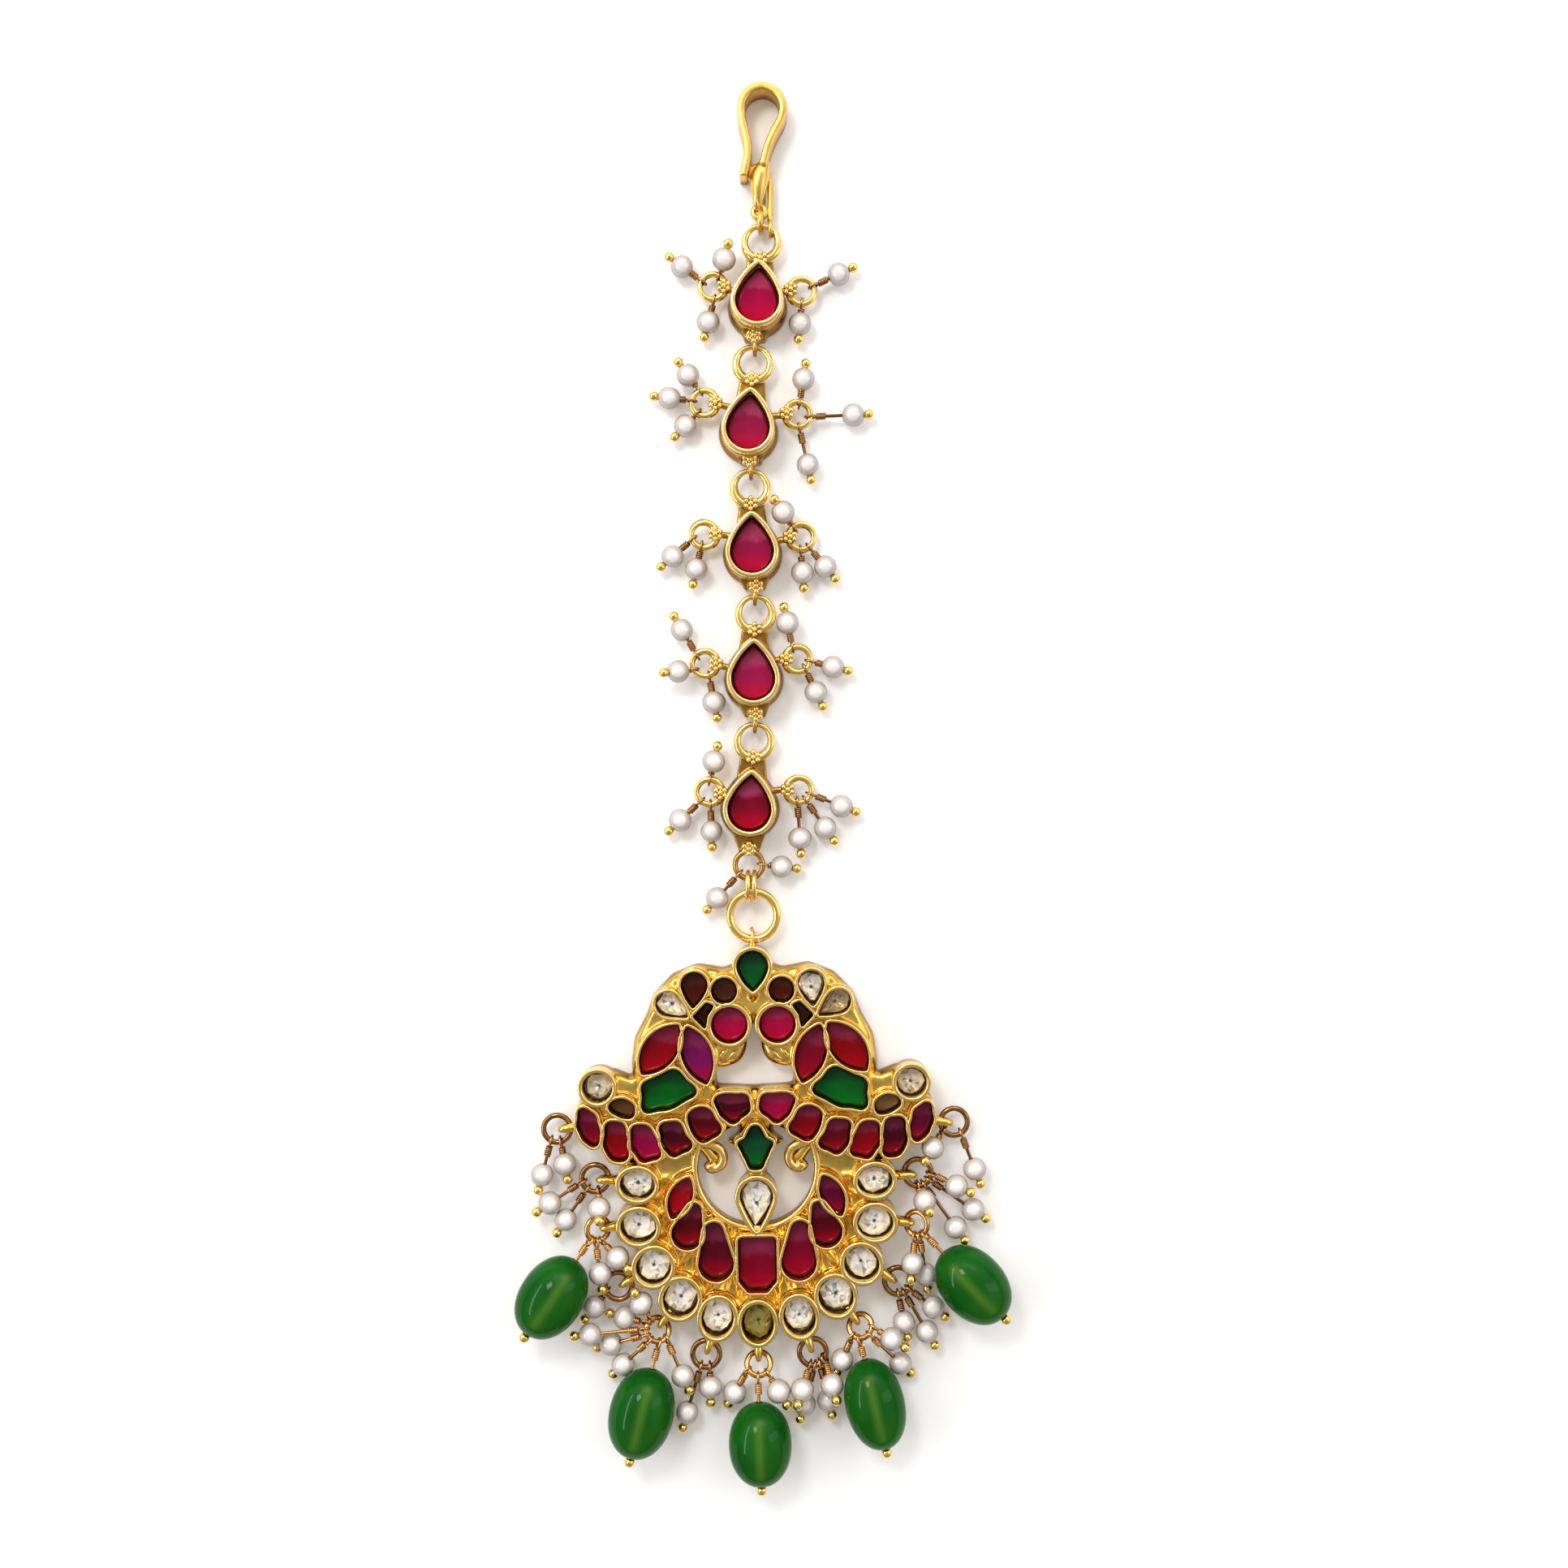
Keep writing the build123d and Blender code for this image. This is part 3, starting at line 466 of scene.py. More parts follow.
def wire_lines(name, paths, closed=False):
    """A curve object with a line for each path of (x, y, z, thickness)."""
    lines = bpy.data.curves.new(name, "CURVE")
    lines.dimensions = "3D"
    for path in paths:
        path = np.asarray(path, float)
        line = lines.splines.new("POLY")
        line.points.add(len(path) - 1)
        line.points.foreach_set("co", np.column_stack([path[:, :3] * MM, np.ones(len(path))]).ravel())
        line.points.foreach_set("radius", path[:, 3])
        line.use_cyclic_u = closed
    return bpy.data.objects.new(name, lines)


rim_tree, taken, given = geometry_tree(
    "burnished_rim",
    Width=0.5 * MM,
    Height=1.4 * MM,
    Rounding=0.2 * MM,
    Clearance=0.02 * MM,
    Waver=0.035 * MM,
    Metal=METAL,
)
section = {"Width": taken["Width"], "Height": taken["Height"]}
section = out(rim_tree, "GeometryNodeCurvePrimitiveQuadrilateral", section)
section = {"Curve": section, "Radius": taken["Rounding"], "Count": 4}
section = out(rim_tree, "GeometryNodeFilletCurve", section, mode="POLY")
across = maths(rim_tree, "MULTIPLY_ADD", taken["Width"], 0.5, taken["Clearance"])
shift = out(rim_tree, "ShaderNodeCombineXYZ", {"X": across, "Y": times(rim_tree, taken["Height"], -0.5)})
section = out(rim_tree, "GeometryNodeTransform", {"Geometry": section, "Translation": shift})
upright = out(rim_tree, "GeometryNodeSetCurveNormal", {"Curve": taken["Geometry"]}, mode="Z_UP")
swept = out(rim_tree, "GeometryNodeCurveToMesh", {"Curve": upright, "Profile Curve": section})
waves = noise(rim_tree, out(rim_tree, "GeometryNodeInputPosition"), 900, 1, "Color")
waves = out(rim_tree, "ShaderNodeVectorMath", {0: waves, 1: (0.5, 0.5, 0.5)}, operation="SUBTRACT")
waves = scaled(rim_tree, waves, taken["Waver"])
moved = out(rim_tree, "GeometryNodeSetPosition", {"Geometry": swept, "Offset": waves})
close_tree(rim_tree, given, moved, taken["Metal"])

# The rims' metals paint shade down their sides and light on their tops.
rim_gold = metal("rim_gold", (0.3, 0.12, 0.02), (0.95, 0.67, 0.23), 2.3, 2.95, 0.14, 0.26)
link_rim_gold = metal("link_rim_gold", (0.2, 0.07, 0.015), (0.95, 0.7, 0.28), 3.02, 3.27, 0.18, 0.28)
LONE_CUPS = ["ruby_head_left", "ruby_head_right", "scroll_polki", "border_polki", "polki_drop",
             "lowest_polki", "green_pear"]
RIMS = {  # the stones, and the rim's width and top
    "pendant_rims": ([node for node in PENDANT_STONES if node not in LONE_CUPS], 0.34, 2.98, rim_gold),
    "cup_rims": (LONE_CUPS, 0.56, 2.98, rim_gold),
    "link_rims": (LINK_STONES, 0.58, 3.3, link_rim_gold),
}
for name, (nodes, width, top, finish) in RIMS.items():
    loops = [loop for node in nodes for loop in girdles[node]]
    paths = [np.column_stack([loop, np.full(len(loop), top), np.ones(len(loop))]) for loop in loops]
    lines = wire_lines(name + "_lines", paths, True)
    rounding = width * RIM_ROUNDING * MM
    rims = grown_mesh(name, lines, rim_tree, Width=width * MM, Rounding=rounding, Metal=finish)
    fit(new_piece(name, rims, finish), "gold")

# ---- ruby, emerald and garnet coloured glass
# The coloured stones are cut glass with bright foil behind. They are slightly domed; painted shade
# darkens their edges, a painted glow lights the side away from the lamp, and a painted reflection lightens
# the side towards it.
foil, taken, given = new_tree(
    "ShaderNodeTree",
    "foil_backed_glass",
    {
        "Glow Colour": (0.5, 0.004, 0.02, 1),
        "Haze Colour": (0.35, 0.06, 0.12, 1),
        "Painted Edge Shade": 0.12,
        "Painted Shade Width": 0.5,
        "Glow": 0.5,
        "Haze": 0.3,
    },
    LOOK,
)


def painted(tree, name, give="Fac"):
    return out(tree, "ShaderNodeAttribute", give=give, attribute_name=name)


crumple = noise(foil, out(foil, "ShaderNodeTexCoord", give="Object"), 850, 3)
shaken = maths(foil, "MULTIPLY_ADD", crumple, 0.5, -0.25)
shaken = maths(foil, "ADD", painted(foil, "rise"), shaken)
# painted glow on the side away from the lamp, painted reflection on the side towards it
painted_glow_share = times(foil, ramp(foil, shaken, -0.15, -0.75), taken["Glow"])
painted_reflection_share = times(foil, ramp(foil, shaken, 0.12, 0.42), taken["Haze"])
lit = blend(foil, painted_glow_share, painted(foil, "tint", "Color"), taken["Glow Colour"])
lit = blend(foil, painted_reflection_share, lit, taken["Haze Colour"])
# painted shade darkens each stone towards its edge
painted_edge_shade = ramp(foil, painted(foil, "from_girdle"), 0.0, taken["Painted Shade Width"], taken["Painted Edge Shade"], 1.0)
patchy = maths(foil, "MULTIPLY_ADD", crumple, 0.5, 0.8)
lit = scaled(foil, lit, times(foil, painted_edge_shade, patchy))
join(foil, given, Color=lit, Roughness=ramp(foil, crumple, 0.3, 0.7, 0.06, 0.16), Height=crumple)


def glass(name, glow_colour, painted_reflection_colour, glow, haze_and_reflection, edge_shade, width):
    """Foil-backed glass with a painted glow, a painted reflection and painted edge shade; each stone's own
    tint is painted on it.
    """
    values = {"Glow Colour": (*glow_colour, 1), "Haze Colour": (*painted_reflection_colour, 1), "Painted Edge Shade": edge_shade,
              "Painted Shade Width": width, "Glow": glow, "Haze": haze_and_reflection}
    plain = {"IOR": 1.5, "Specular_IOR_Level": 0.06, "Coat_Weight": 0.12, "Coat_Roughness": 0.03}
    return group_finish(name, foil, values, 0.08, 0.1, **plain)


GIRDLE_INSET = 0.03  # all round, so that a dark line shows between stone and rim
CROWN = 0.01  # rise of a stone's middle over its last ring
DOME = [(1, 1.6), (1, 2.58), (0.975, 2.66), (0.92, 2.73), (0.84, 2.78), (0.72, 2.82), (0.56, 2.855),
        (0.38, 2.88), (0.2, 2.89)]
TABLE = [(1, 1.6), (1, 2.95), (0.985, 3.0), (0.84, 3.14), (0.82, 3.15), (0.66, 3.16), (0.45, 3.165),
         (0.22, 3.17)]


def paint(mesh, name, kind, values, domain="POINT"):
    layer = mesh.attributes.new(name, kind, domain)
    key = {"FLOAT": "value", "FLOAT_COLOR": "color", "FLOAT_VECTOR": "vector"}[kind]
    layer.data.foreach_set(key, np.asarray(values, np.float32).ravel())


def mesh_of(name, corners, faces):
    """A mesh from corners in millimetres."""
    mesh = bpy.data.meshes.new(name)
    mesh.from_pydata((np.array(corners) * MM).tolist(), [], faces)
    return mesh


def ring_faces(start, sides, rows, closed=False):
    """Faces with four corners between rings of corners, each ring above the one before."""
    faces = []
    for row in range(rows if closed else rows - 1):
        here = start + row * sides
        above = start + (row + 1) % rows * sides
        for k in range(sides):
            after = (k + 1) % sides
            faces.append((here + k, here + after, above + after, above + k))
    return faces


def end_faces(start, sides, rows):
    """The faces that close a stack of rings: a fan to the middle point on top, and one flat below."""
    last = start + (rows - 1) * sides
    fan = [(last + k, last + (k + 1) % sides, last + sides) for k in range(sides)]
    return fan + [tuple(range(start + sides - 1, start - 1, -1))]


def drawn_in(girdle, inset):
    """A stone's middle, and its outline moved in towards it."""
    middle = (girdle.min(axis=0) + girdle.max(axis=0)) / 2
    spread = girdle - middle
    return middle, middle + spread * (1 - inset / norm(spread, axis=1, keepdims=True))


def domed_stones(name, rows, finish):
    """One mesh with a domed stone for each row: girdle, own tint, and shape from edge to middle."""
    corners, faces, tints, depths, rises = [], [], [], [], []
    for girdle, tint, shape in rows:
        middle, line = drawn_in(girdle, GIRDLE_INSET)
        start = len(corners)
        for share, height in shape:
            corners += [(x, y, height) for x, y in middle + (line - middle) * share]
        corners.append((*middle, shape[-1][1] + CROWN))
        faces += ring_faces(start, len(line), len(shape)) + end_faces(start, len(line), len(shape))
        flat = np.array(corners[start:])[:, :2]
        depths += norm(flat[:, None] - girdle[None], axis=2).min(axis=1).tolist()
        half = (girdle[:, 1].max() - girdle[:, 1].min()) / 2
        rises += ((flat[:, 1] - middle[1]) / half).tolist()
        tints += [(*tint, 1)] * len(flat)
    mesh = mesh_of(name, corners, faces)
    paint(mesh, "tint", "FLOAT_COLOR", tints)
    paint(mesh, "from_girdle", "FLOAT", depths)
    paint(mesh, "rise", "FLOAT", rises)
    mesh.shade_smooth()
    return new_piece(name, mesh, finish)


RASPBERRY = (0.33, 0.001, 0.045)
CRIMSON = (0.17, 0.001, 0.014)
RED = (0.2, 0.0005, 0.004)
PURPLE = (0.1, 0.001, 0.028)
MAROON = (0.08, 0.0005, 0.005)
PLUM = (0.05, 0.0005, 0.008)
# each glass: painted glow and reflection colours, their shares, painted edge shade and its width
ruby = glass("ruby_glass", (0.45, 0.001, 0.02), (0.22, 0.026, 0.08), 0.35, 0.6, 0.08, 0.34)
table_ruby = glass("table_ruby_glass", (0.5, 0.001, 0.02), (0.38, 0.05, 0.13), 0.5, 0.7, 0.03, 0.5)
emerald = glass("emerald_glass", (0.001, 0.15, 0.015), (0.002, 0.028, 0.012), 0.5, 0.6, 0.08, 0.6)
garnet = glass("garnet_glass", (0.1, 0.02, 0.01), (0.09, 0.045, 0.03), 0.3, 0.2, 0.1, 0.45)
COLOURED_STONES = [
    ("ruby", ruby, DOME, {
        "ruby_head_left": [RASPBERRY],
        "ruby_head_right": [RASPBERRY],
        "ruby_wing_left": [RED, (0.15, 0.004, 0.085)],
        "ruby_wing_right": [CRIMSON, RED],
        "collar_ruby_left": [(0.13, 0.001, 0.02), RED, (0.24, 0.001, 0.055), PLUM, MAROON, PLUM],
        "collar_ruby_right": [(0.28, 0.001, 0.045), (0.16, 0.0005, 0.005), (0.1, 0.001, 0.008), RED, PLUM,
                              PURPLE],
        "crescent_ruby": [(0.3, 0.001, 0.01), MAROON, (0.08, 0.001, 0.01), CRIMSON, (0.18, 0.001, 0.018),
                          MAROON, PURPLE],
    }),
    ("ruby", table_ruby, TABLE, {
        "link_stone_1": [RASPBERRY],
        "link_stone_2": [(0.26, 0.006, 0.05)],
        "link_stone_3": [(0.26, 0.004, 0.05)],
        "link_stone_4": [(0.28, 0.006, 0.06)],
        "link_stone_5": [CRIMSON],
    }),
    ("emerald", emerald, DOME, {
        "emerald_tail_left": [(0.001, 0.075, 0.008)],
        "emerald_tail_right": [(0.001, 0.085, 0.01)],
        "emerald_kite": [(0.002, 0.06, 0.022)],
        "green_pear": [(0.002, 0.07, 0.018)],
    }),
    ("garnet", garnet, DOME, {
        "fan_garnet_left": [(0.055, 0.006, 0.003), (0.03, 0.008, 0.004), (0.055, 0.014, 0.007)],
        "fan_garnet_right": [(0.06, 0.006, 0.003), (0.03, 0.008, 0.004)],
        "scroll_garnet": [(0.11, 0.05, 0.018), (0.2, 0.11, 0.05)],
    }),
]
for slot, finish, shape, nodes in COLOURED_STONES:
    for node, tints in nodes.items():
        rows = [(line, tint, shape) for line, tint in zip(girdles[node], tints)]
        fit(domed_stones(node + "_glass", rows, finish), slot, node)

# ---- uncut diamonds
# The colourless stones are thin uncut slices over silver foil: painted shade at the edge, a ring of
# uneven facets, a small table, and a dark fleck in the middle where the foil shows through.
POLKI_SHAPE = [(1.0, 1.6), (1.0, 2.5), (0.9, 2.56), (0.6, 2.76), (0.28, 2.83)]
POLKI_SIDES = 11
POLKI_INSET = 0.06
EDGE_RINGS = 2  # the first rings of the shape are even, and painted with shade
TABLE_SHIFT = 0.06  # the facets lie a little to the south
POLKI_MIDDLE = 2.74
FACET_LIGHTS = (1.0, 1.0, 1.0, 1.0, 0.9, 0.75, 1.0, 0.42)
GAP_SHADE = (0.02, 0.009, 0.005)  # painted shade of the deep gap round a stone
dice = random.Random(7)


def uncut_stones(name, rows, finish):
    """One mesh with an uneven, flat-faceted slice for each row: girdle and own tint."""
    corners, faces, tints, middles = [], [], [], []
    for girdle, tint in rows:
        middle, line = drawn_in(girdle, POLKI_INSET)
        line = even_steps(line, norm(np.diff(line, axis=0), axis=1).sum() / POLKI_SIDES)
        count = len(line)
        start = len(corners)
        for ring, (share, height) in enumerate(POLKI_SHAPE):
            loose = 0.0 if ring < EDGE_RINGS else 1.0
            for point in line:
                own_share = share * (1 + loose * dice.uniform(-0.12, 0.1))
                x, y = middle + (point - middle) * own_share - (0, TABLE_SHIFT * loose)
                corners.append((x, y, height + loose * dice.uniform(-0.07, 0.07)))
        x, y = (at + dice.uniform(-0.1, 0.1) for at in middle)
        corners.append((x, y, POLKI_MIDDLE))
        made = []
        for number, (a, b, c, d) in enumerate(ring_faces(start, count, len(POLKI_SHAPE))):
            ring, k = divmod(number, count)
            if ring == 0:
                made.append((a, b, c, d))
            elif (ring + k) % 2:
                made += [(a, b, c), (a, c, d)]
            else:
                made += [(a, b, d), (b, c, d)]
        made += end_faces(start, count, len(POLKI_SHAPE))
        for face in made:
            light = dice.choice(FACET_LIGHTS)
            on_edge = min(face) < start + EDGE_RINGS * count
            # faces of the edge rings are painted with the gap's shade
            colour = GAP_SHADE if on_edge else [channel * light for channel in tint]
            tints += [(*colour, 1)] * len(face)
        faces += made
        middles += norm(np.array(corners[start:])[:, :2] - middle, axis=1).tolist()
    mesh = mesh_of(name, corners, faces)
    paint(mesh, "tint", "FLOAT_COLOR", tints, "CORNER")
    paint(mesh, "from_middle", "FLOAT", middles)
    return new_piece(name, mesh, finish)


def diamond(name, haze_and_reflection):
    """Silver foil under a clear slice; each facet's own brightness is painted on it."""
    finish, tree, shader = new_finish(name, IOR=1.5, Coat_Weight=0.3, Coat_Roughness=0.03, Metallic=0.2)
    crumple = noise(tree, out(tree, "ShaderNodeTexCoord", give="Object"), 800, 2, twist=0.8)
    patch = ramp(tree, crumple, 0.36, 0.5, 0.82, 1.1)
    fleck = ramp(tree, painted(tree, "from_middle"), 0.2, 0.34, 0.05, 1.0)
    shade = scaled(tree, painted(tree, "tint", "Color"), times(tree, patch, fleck))
    shade = blend(tree, 0.06, shade, (*haze_and_reflection, 1))
    join(tree, shader, Base_Color=shade, Roughness=ramp(tree, crumple, 0.3, 0.7, 0.05, 0.2))
    return finish


SILVERY = (0.98, 0.98, 0.98)
SMOKY = (0.42, 0.33, 0.22)
BEIGE = (0.7, 0.65, 0.56)
polki = diamond("uncut_diamond", (0.8, 0.8, 0.76))
slices = {
    "border_polki": [(line, SILVERY) for line in girdles["border_polki"]],
    "scroll_polki": [(line, BEIGE) for line in girdles["scroll_polki"]],
    "fan_polki": list(zip(girdles["fan_polki"], (SILVERY, SMOKY))),
    "polki_drop": [(line, SILVERY) for line in girdles["polki_drop"]],
}
for node, rows in slices.items():
    fit(uncut_stones(node + "_slices", rows, polki), "polki", node)
egg = uncut_stones("fan_polki_egg", [(girdles["fan_garnet_right"][2], SILVERY)], polki)
fit(egg, "polki", "fan_garnet_right")

yellow_green = diamond("yellow_green_slice", (0.25, 0.21, 0.05))
lowest = uncut_stones("lowest_polki_slice", [(girdles["lowest_polki"][0], (0.3, 0.26, 0.06))], yellow_green)
fit(lowest, "yellow_green_polki", "lowest_polki")

# ---- chain links, hook and rings
# Each link is a small casting: a pear cup, necks, a crescent ring above and wire ears at the sides.
# The hook is a flat strip bent on edge. Rings are drawn wire, bent round and closed.
# Their colours hold painted shade low down and painted light higher up.
link_gold = metal("link_gold", (0.3, 0.14, 0.025), (0.64, 0.4, 0.09), 1.0, 2.7, 0.22, 0.36)
plain_gold = metal("plain_gold", (0.34, 0.15, 0.025), (0.95, 0.66, 0.2), 0.5, 1.7, 0.1, 0.22)
satin_gold = metal("satin_gold", (0.34, 0.15, 0.025), (0.8, 0.52, 0.14), 0.5, 1.9, 0.28, 0.4)
ring_gold = metal("ring_gold", (0.13, 0.035, 0.012), (0.66, 0.36, 0.12), 1.1, 2.7, 0.1, 0.22)
SMALL_SHARE = 0.6  # of the facets kept
SMALL_CASTINGS = {  # finest detail, rounds of polishing, and swell
    **{f"link_{number}": (0.12, 4, 0.02, link_gold) for number in range(1, 6)},
    "hair_hook": (0.13, 7, 0.05, satin_gold),
    "hook_links": (0.08, 2, 0.15, satin_gold),
}
for node, (grain, polish, swell, finish) in SMALL_CASTINGS.items():
    mesh = softened(node, grain, polish, SMALL_SHARE, swell)
    mesh.transform(Matrix.Scale(MM, 4))
    fit(new_piece(node + "_body", mesh, finish), "gold", node)


def coat(node, finish):
    """A CAD piece that stays as it is, in its own finish."""
    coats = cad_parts[node].data.materials
    coats.clear()
    coats.append(finish)


coat("pendant_ring", plain_gold)
coat("joiner_rings", plain_gold)

# ---- drawn wire on the pendant
# Gold wire, drawn down and soldered on: a bead round the open crescent, two curls at its horns, a
# tapered stem over every eye at the edge, the jump rings through those eyes, and the hook's bulb.
# The beaks are small domed leaves.
wire_tree, taken, given = geometry_tree("drawn_wire", Thickness=MM, Metal=METAL)
profile = out(wire_tree, "GeometryNodeCurvePrimitiveCircle", {"Resolution": 14, "Radius": 1.0})
thickness = times(wire_tree, out(wire_tree, "GeometryNodeInputRadius"), taken["Thickness"])
drawn = {"Curve": taken["Geometry"], "Profile Curve": profile, "Scale": thickness, "Fill Caps": True}
close_tree(wire_tree, given, out(wire_tree, "GeometryNodeCurveToMesh", drawn), taken["Metal"])


def wire_piece(name, paths, finish, closed=False):
    """One mesh of round wires along paths of (x, y, z, thickness)."""
    made = grown_mesh(name, wire_lines(name, paths, closed), wire_tree, Metal=finish)
    return new_piece(name, made, finish)


def flowing(points, steps=10):
    """A smooth path through points of any size."""
    points = np.asarray(points, float)
    ends = np.vstack([2 * points[0] - points[1], points, 2 * points[-1] - points[-2]])
    path = []
    for a, b, c, d in zip(ends, ends[1:], ends[2:], ends[3:]):
        bend, twist = 2 * a - 5 * b + 4 * c - d, 3 * b - a - 3 * c + d
        for t in np.linspace(0, 1, steps, endpoint=False):
            path.append(0.5 * (2 * b + (c - a) * t + bend * t**2 + twist * t**3))
    return np.array(path + [points[-1]])


def both_sides(path):
    """A path of the pendant's own frame and its mirror image, in the common frame."""
    sides = [from_pendant(path[:, :2] * (way, 1)) for way in (1, -1)]
    return [np.column_stack([flat, path[:, 2:]]) for flat in sides]


def hoop(centre, first, second, radius, thickness, count):
    """A round of wire in the plane of two directions; it may be thicker towards either of them."""
    even, to_first, to_second = thickness
    path = []
    for turn in np.linspace(0, math.tau, count, False):
        c, s = math.cos(turn), math.sin(turn)
        path.append((*(centre + radius * (c * first + s * second)), even + to_first * c + to_second * s))
    return path


CURL = [
    (7.2, 3.0, 2.2, 0.45), (6.2, 2.9, 2.35, 0.52), (5.2, 2.7, 2.45, 0.56), (4.3, 2.25, 2.5, 0.56),
    (3.85, 1.4, 2.5, 0.55), (4.0, 0.55, 2.45, 0.56), (4.5, 0.05, 2.4, 0.62), (5.1, 0.05, 2.4, 0.78),
    (5.4, 0.4, 2.4, 0.8), (5.5, 0.8, 2.4, 0.4),
]
BULB = [(0.35, 73.9, 2.0, 0.55), (-0.1, 73.0, 2.0, 0.95), (-0.4, 72.0, 2.0, 1.12),
        (-0.55, 70.9, 2.0, 1.02), (-0.6, 69.8, 1.95, 0.75), (-0.6, 68.6, 1.85, 0.4)]
STEM = [(-2.7, 1.6, 0.62), (-2.2, 2.0, 0.56), (-1.6, 2.35, 0.48), (-1.0, 2.42, 0.43), (-0.6, 2.3, 0.38),
        (-0.4, 2.05, 0.32)]  # along the eye, height and thickness
CRESCENT_RADIUS = 7.25
CRESCENT_ENDS = (-206, 27)  # degrees
RING_RADIUS = 1.6
RING_THICKNESS = 0.33
fit(wire_piece("crescent_curls", both_sides(flowing(CURL)), rim_gold), "gold")
turns = np.radians(np.arange(*CRESCENT_ENDS, 3))
arc = from_pendant(CRESCENT_RADIUS * np.column_stack([np.cos(turns), np.sin(turns)]))
arc = [(x, y, 2.52, 0.44) for x, y in arc]
fit(wire_piece("crescent_bead", [arc], rim_gold), "gold")
fit(wire_piece("hook_bulb", [flowing(BULB)], satin_gold), "gold")

cup_middles = [line.mean(axis=0) for node in ("border_polki", "lowest_polki") for line in girdles[node]]
cup_middles += [girdles["collar_ruby_left"][0].mean(axis=0), girdles["collar_ruby_right"][-1].mean(axis=0)]
stems = []
hoops = []
for corners, faces in read_solids("edge_rings"):
    centre = corners.mean(axis=0)
    normal = svd(corners - centre, full_matrices=False)[2][2]
    nearest = min(cup_middles, key=lambda middle: norm(centre[:2] - middle))
    outward = (centre[:2] - nearest) / norm(centre[:2] - nearest)
    stem = [(*(centre[:2] + outward * along), height, thickness) for along, height, thickness in STEM]
    stems.append(flowing(stem, 5))
    across = np.cross(normal, (*outward, 0))
    hoops.append(hoop(centre, np.cross(across, normal), across, RING_RADIUS, (RING_THICKNESS, 0, 0), 40))
fit(wire_piece("eye_stems", stems, cast_gold), "gold")
fit(wire_piece("edge_ring_wires", hoops, ring_gold, True), "ring_gold", "edge_rings")

BEAK_LEAVES = [  # root, tip, width and bend
    ((0.85, 14.9), (4.05, 12.0), 1.75, 0.35),
    ((2.6, 14.6), (4.75, 12.35), 1.4, 0.0),
]
LEAF_SHAPE = [(1, 1.4), (1, 2.0), (0.94, 2.25), (0.8, 2.45), (0.5, 2.7), (0.2, 2.85)]
LEAF_STEP = 0.15
leaves = []
for way in (1, -1):
    for root, tip, width, bend in BEAK_LEAVES:
        run = np.subtract(tip, root)
        side = np.array([run[1], -run[0]]) / math.hypot(*run)
        share = np.linspace(0, 1, 16)[:, None]
        bow = side * np.sin(math.pi * share) ** 0.8 * width / 2
        middle = root + share * run
        outline = np.vstack([middle + bow * (1 + bend), (middle - bow * (1 - bend))[-2:0:-1]])
        outline = (outline * (way, 1))[::way]
        leaves.append((even_steps(from_pendant(outline), LEAF_STEP), GOLD, LEAF_SHAPE))
fit(domed_stones("beak_leaves", leaves, rim_gold), "gold")

# ---- granule flowers and link wires
# Seven little gold balls are soldered as a flower over each joint of a link. The crescent ring
# over each link and the rings at its ears are thick below and drawn thin above; a sloping skirt
# closes the foot of each cup.
EARS = [  # across and along each link, from its middle
    ((-5.4, 1.1), (5.2, 1.3)),
    ((-5.5, 2.3), (5.7, 1.6)),
    ((-5.7, 1.7), (5.8, 1.0)),
    ((-5.8, 0.9), (5.2, 1.8)),
    ((-4.9, 0.9), (5.7, 1.9)),
]
RING_RISES = [6.65, 7.25, 7.05, 7.05, 7.3]
EAR_REACH = 1.35
NECK_DROP = 1.9  # from the crescent ring's middle down to the flower on its neck
FLOWER_HEIGHT = 2.2
JOINT_HEIGHT = 2.4
JOINT_RISE = 1.21
LAST_FLOWER = (-1.72, -7.35, 2.4)
SKIRT = [(1, 0.03), (1, 0.6), (0.97, 1.0), (0.9, 1.5), (0.8, 1.9)]
SKIRT_GROWTH = 1.05
places = []
for node in LINK_STONES:
    line = girdles[node][0]
    tip = line[np.argmax(norm(line - line.mean(axis=0), axis=1))]
    foot = line[np.argmax(norm(line - tip, axis=1))]
    x, y = (tip - foot) / norm(tip - foot)
    places.append((np.array([*(tip + foot) / 2, 0]), np.array([y, -x, 0]), np.array([x, y, 0])))
flowers = []
joints = []
link_hoops = []
for (middle, across, along), ears, rise in zip(places, EARS, RING_RISES):
    flowers.append(middle + along * (rise - NECK_DROP) + (0, 0, FLOWER_HEIGHT))
    joints.append(middle + along * (rise + 2.0) + (0, JOINT_RISE, JOINT_HEIGHT))
    crescent_at = middle + along * rise + (0, 0, 1.62)
    link_hoops.append(hoop(crescent_at, along, across, 2.02, (0.44, -0.13, 0), 48))
    for x, y in ears:
        seat = x - math.copysign(EAR_REACH, x)
        flowers.append(middle + across * seat + along * y + (0, 0, FLOWER_HEIGHT))
        ear_at = middle + across * x + along * y + (0, 0, 1.5)
        link_hoops.append(hoop(ear_at, along, across, 1.5, (0.4, 0, -math.copysign(0.08, x)), 40))
flowers += joints[1:] + [LAST_FLOWER]
fit(wire_piece("link_ring_wires", link_hoops, plain_gold, True), "gold")
skirts = [(grown_line(girdles[node][0], SKIRT_GROWTH), GOLD, SKIRT) for node in LINK_STONES]
fit(domed_stones("cup_skirts", skirts, link_gold), "gold")

flower_tree, taken, given = geometry_tree(
    "granule_flower", Granule_Radius=0.33 * MM, Flower_Radius=0.6 * MM, Middle_Rise=0.24 * MM, Metal=METAL
)


def set_on(tree, points, piece, **more):
    """A copy of a piece at each point."""
    return out(tree, "GeometryNodeInstanceOnPoints", {"Points": points, "Instance": piece, **more})


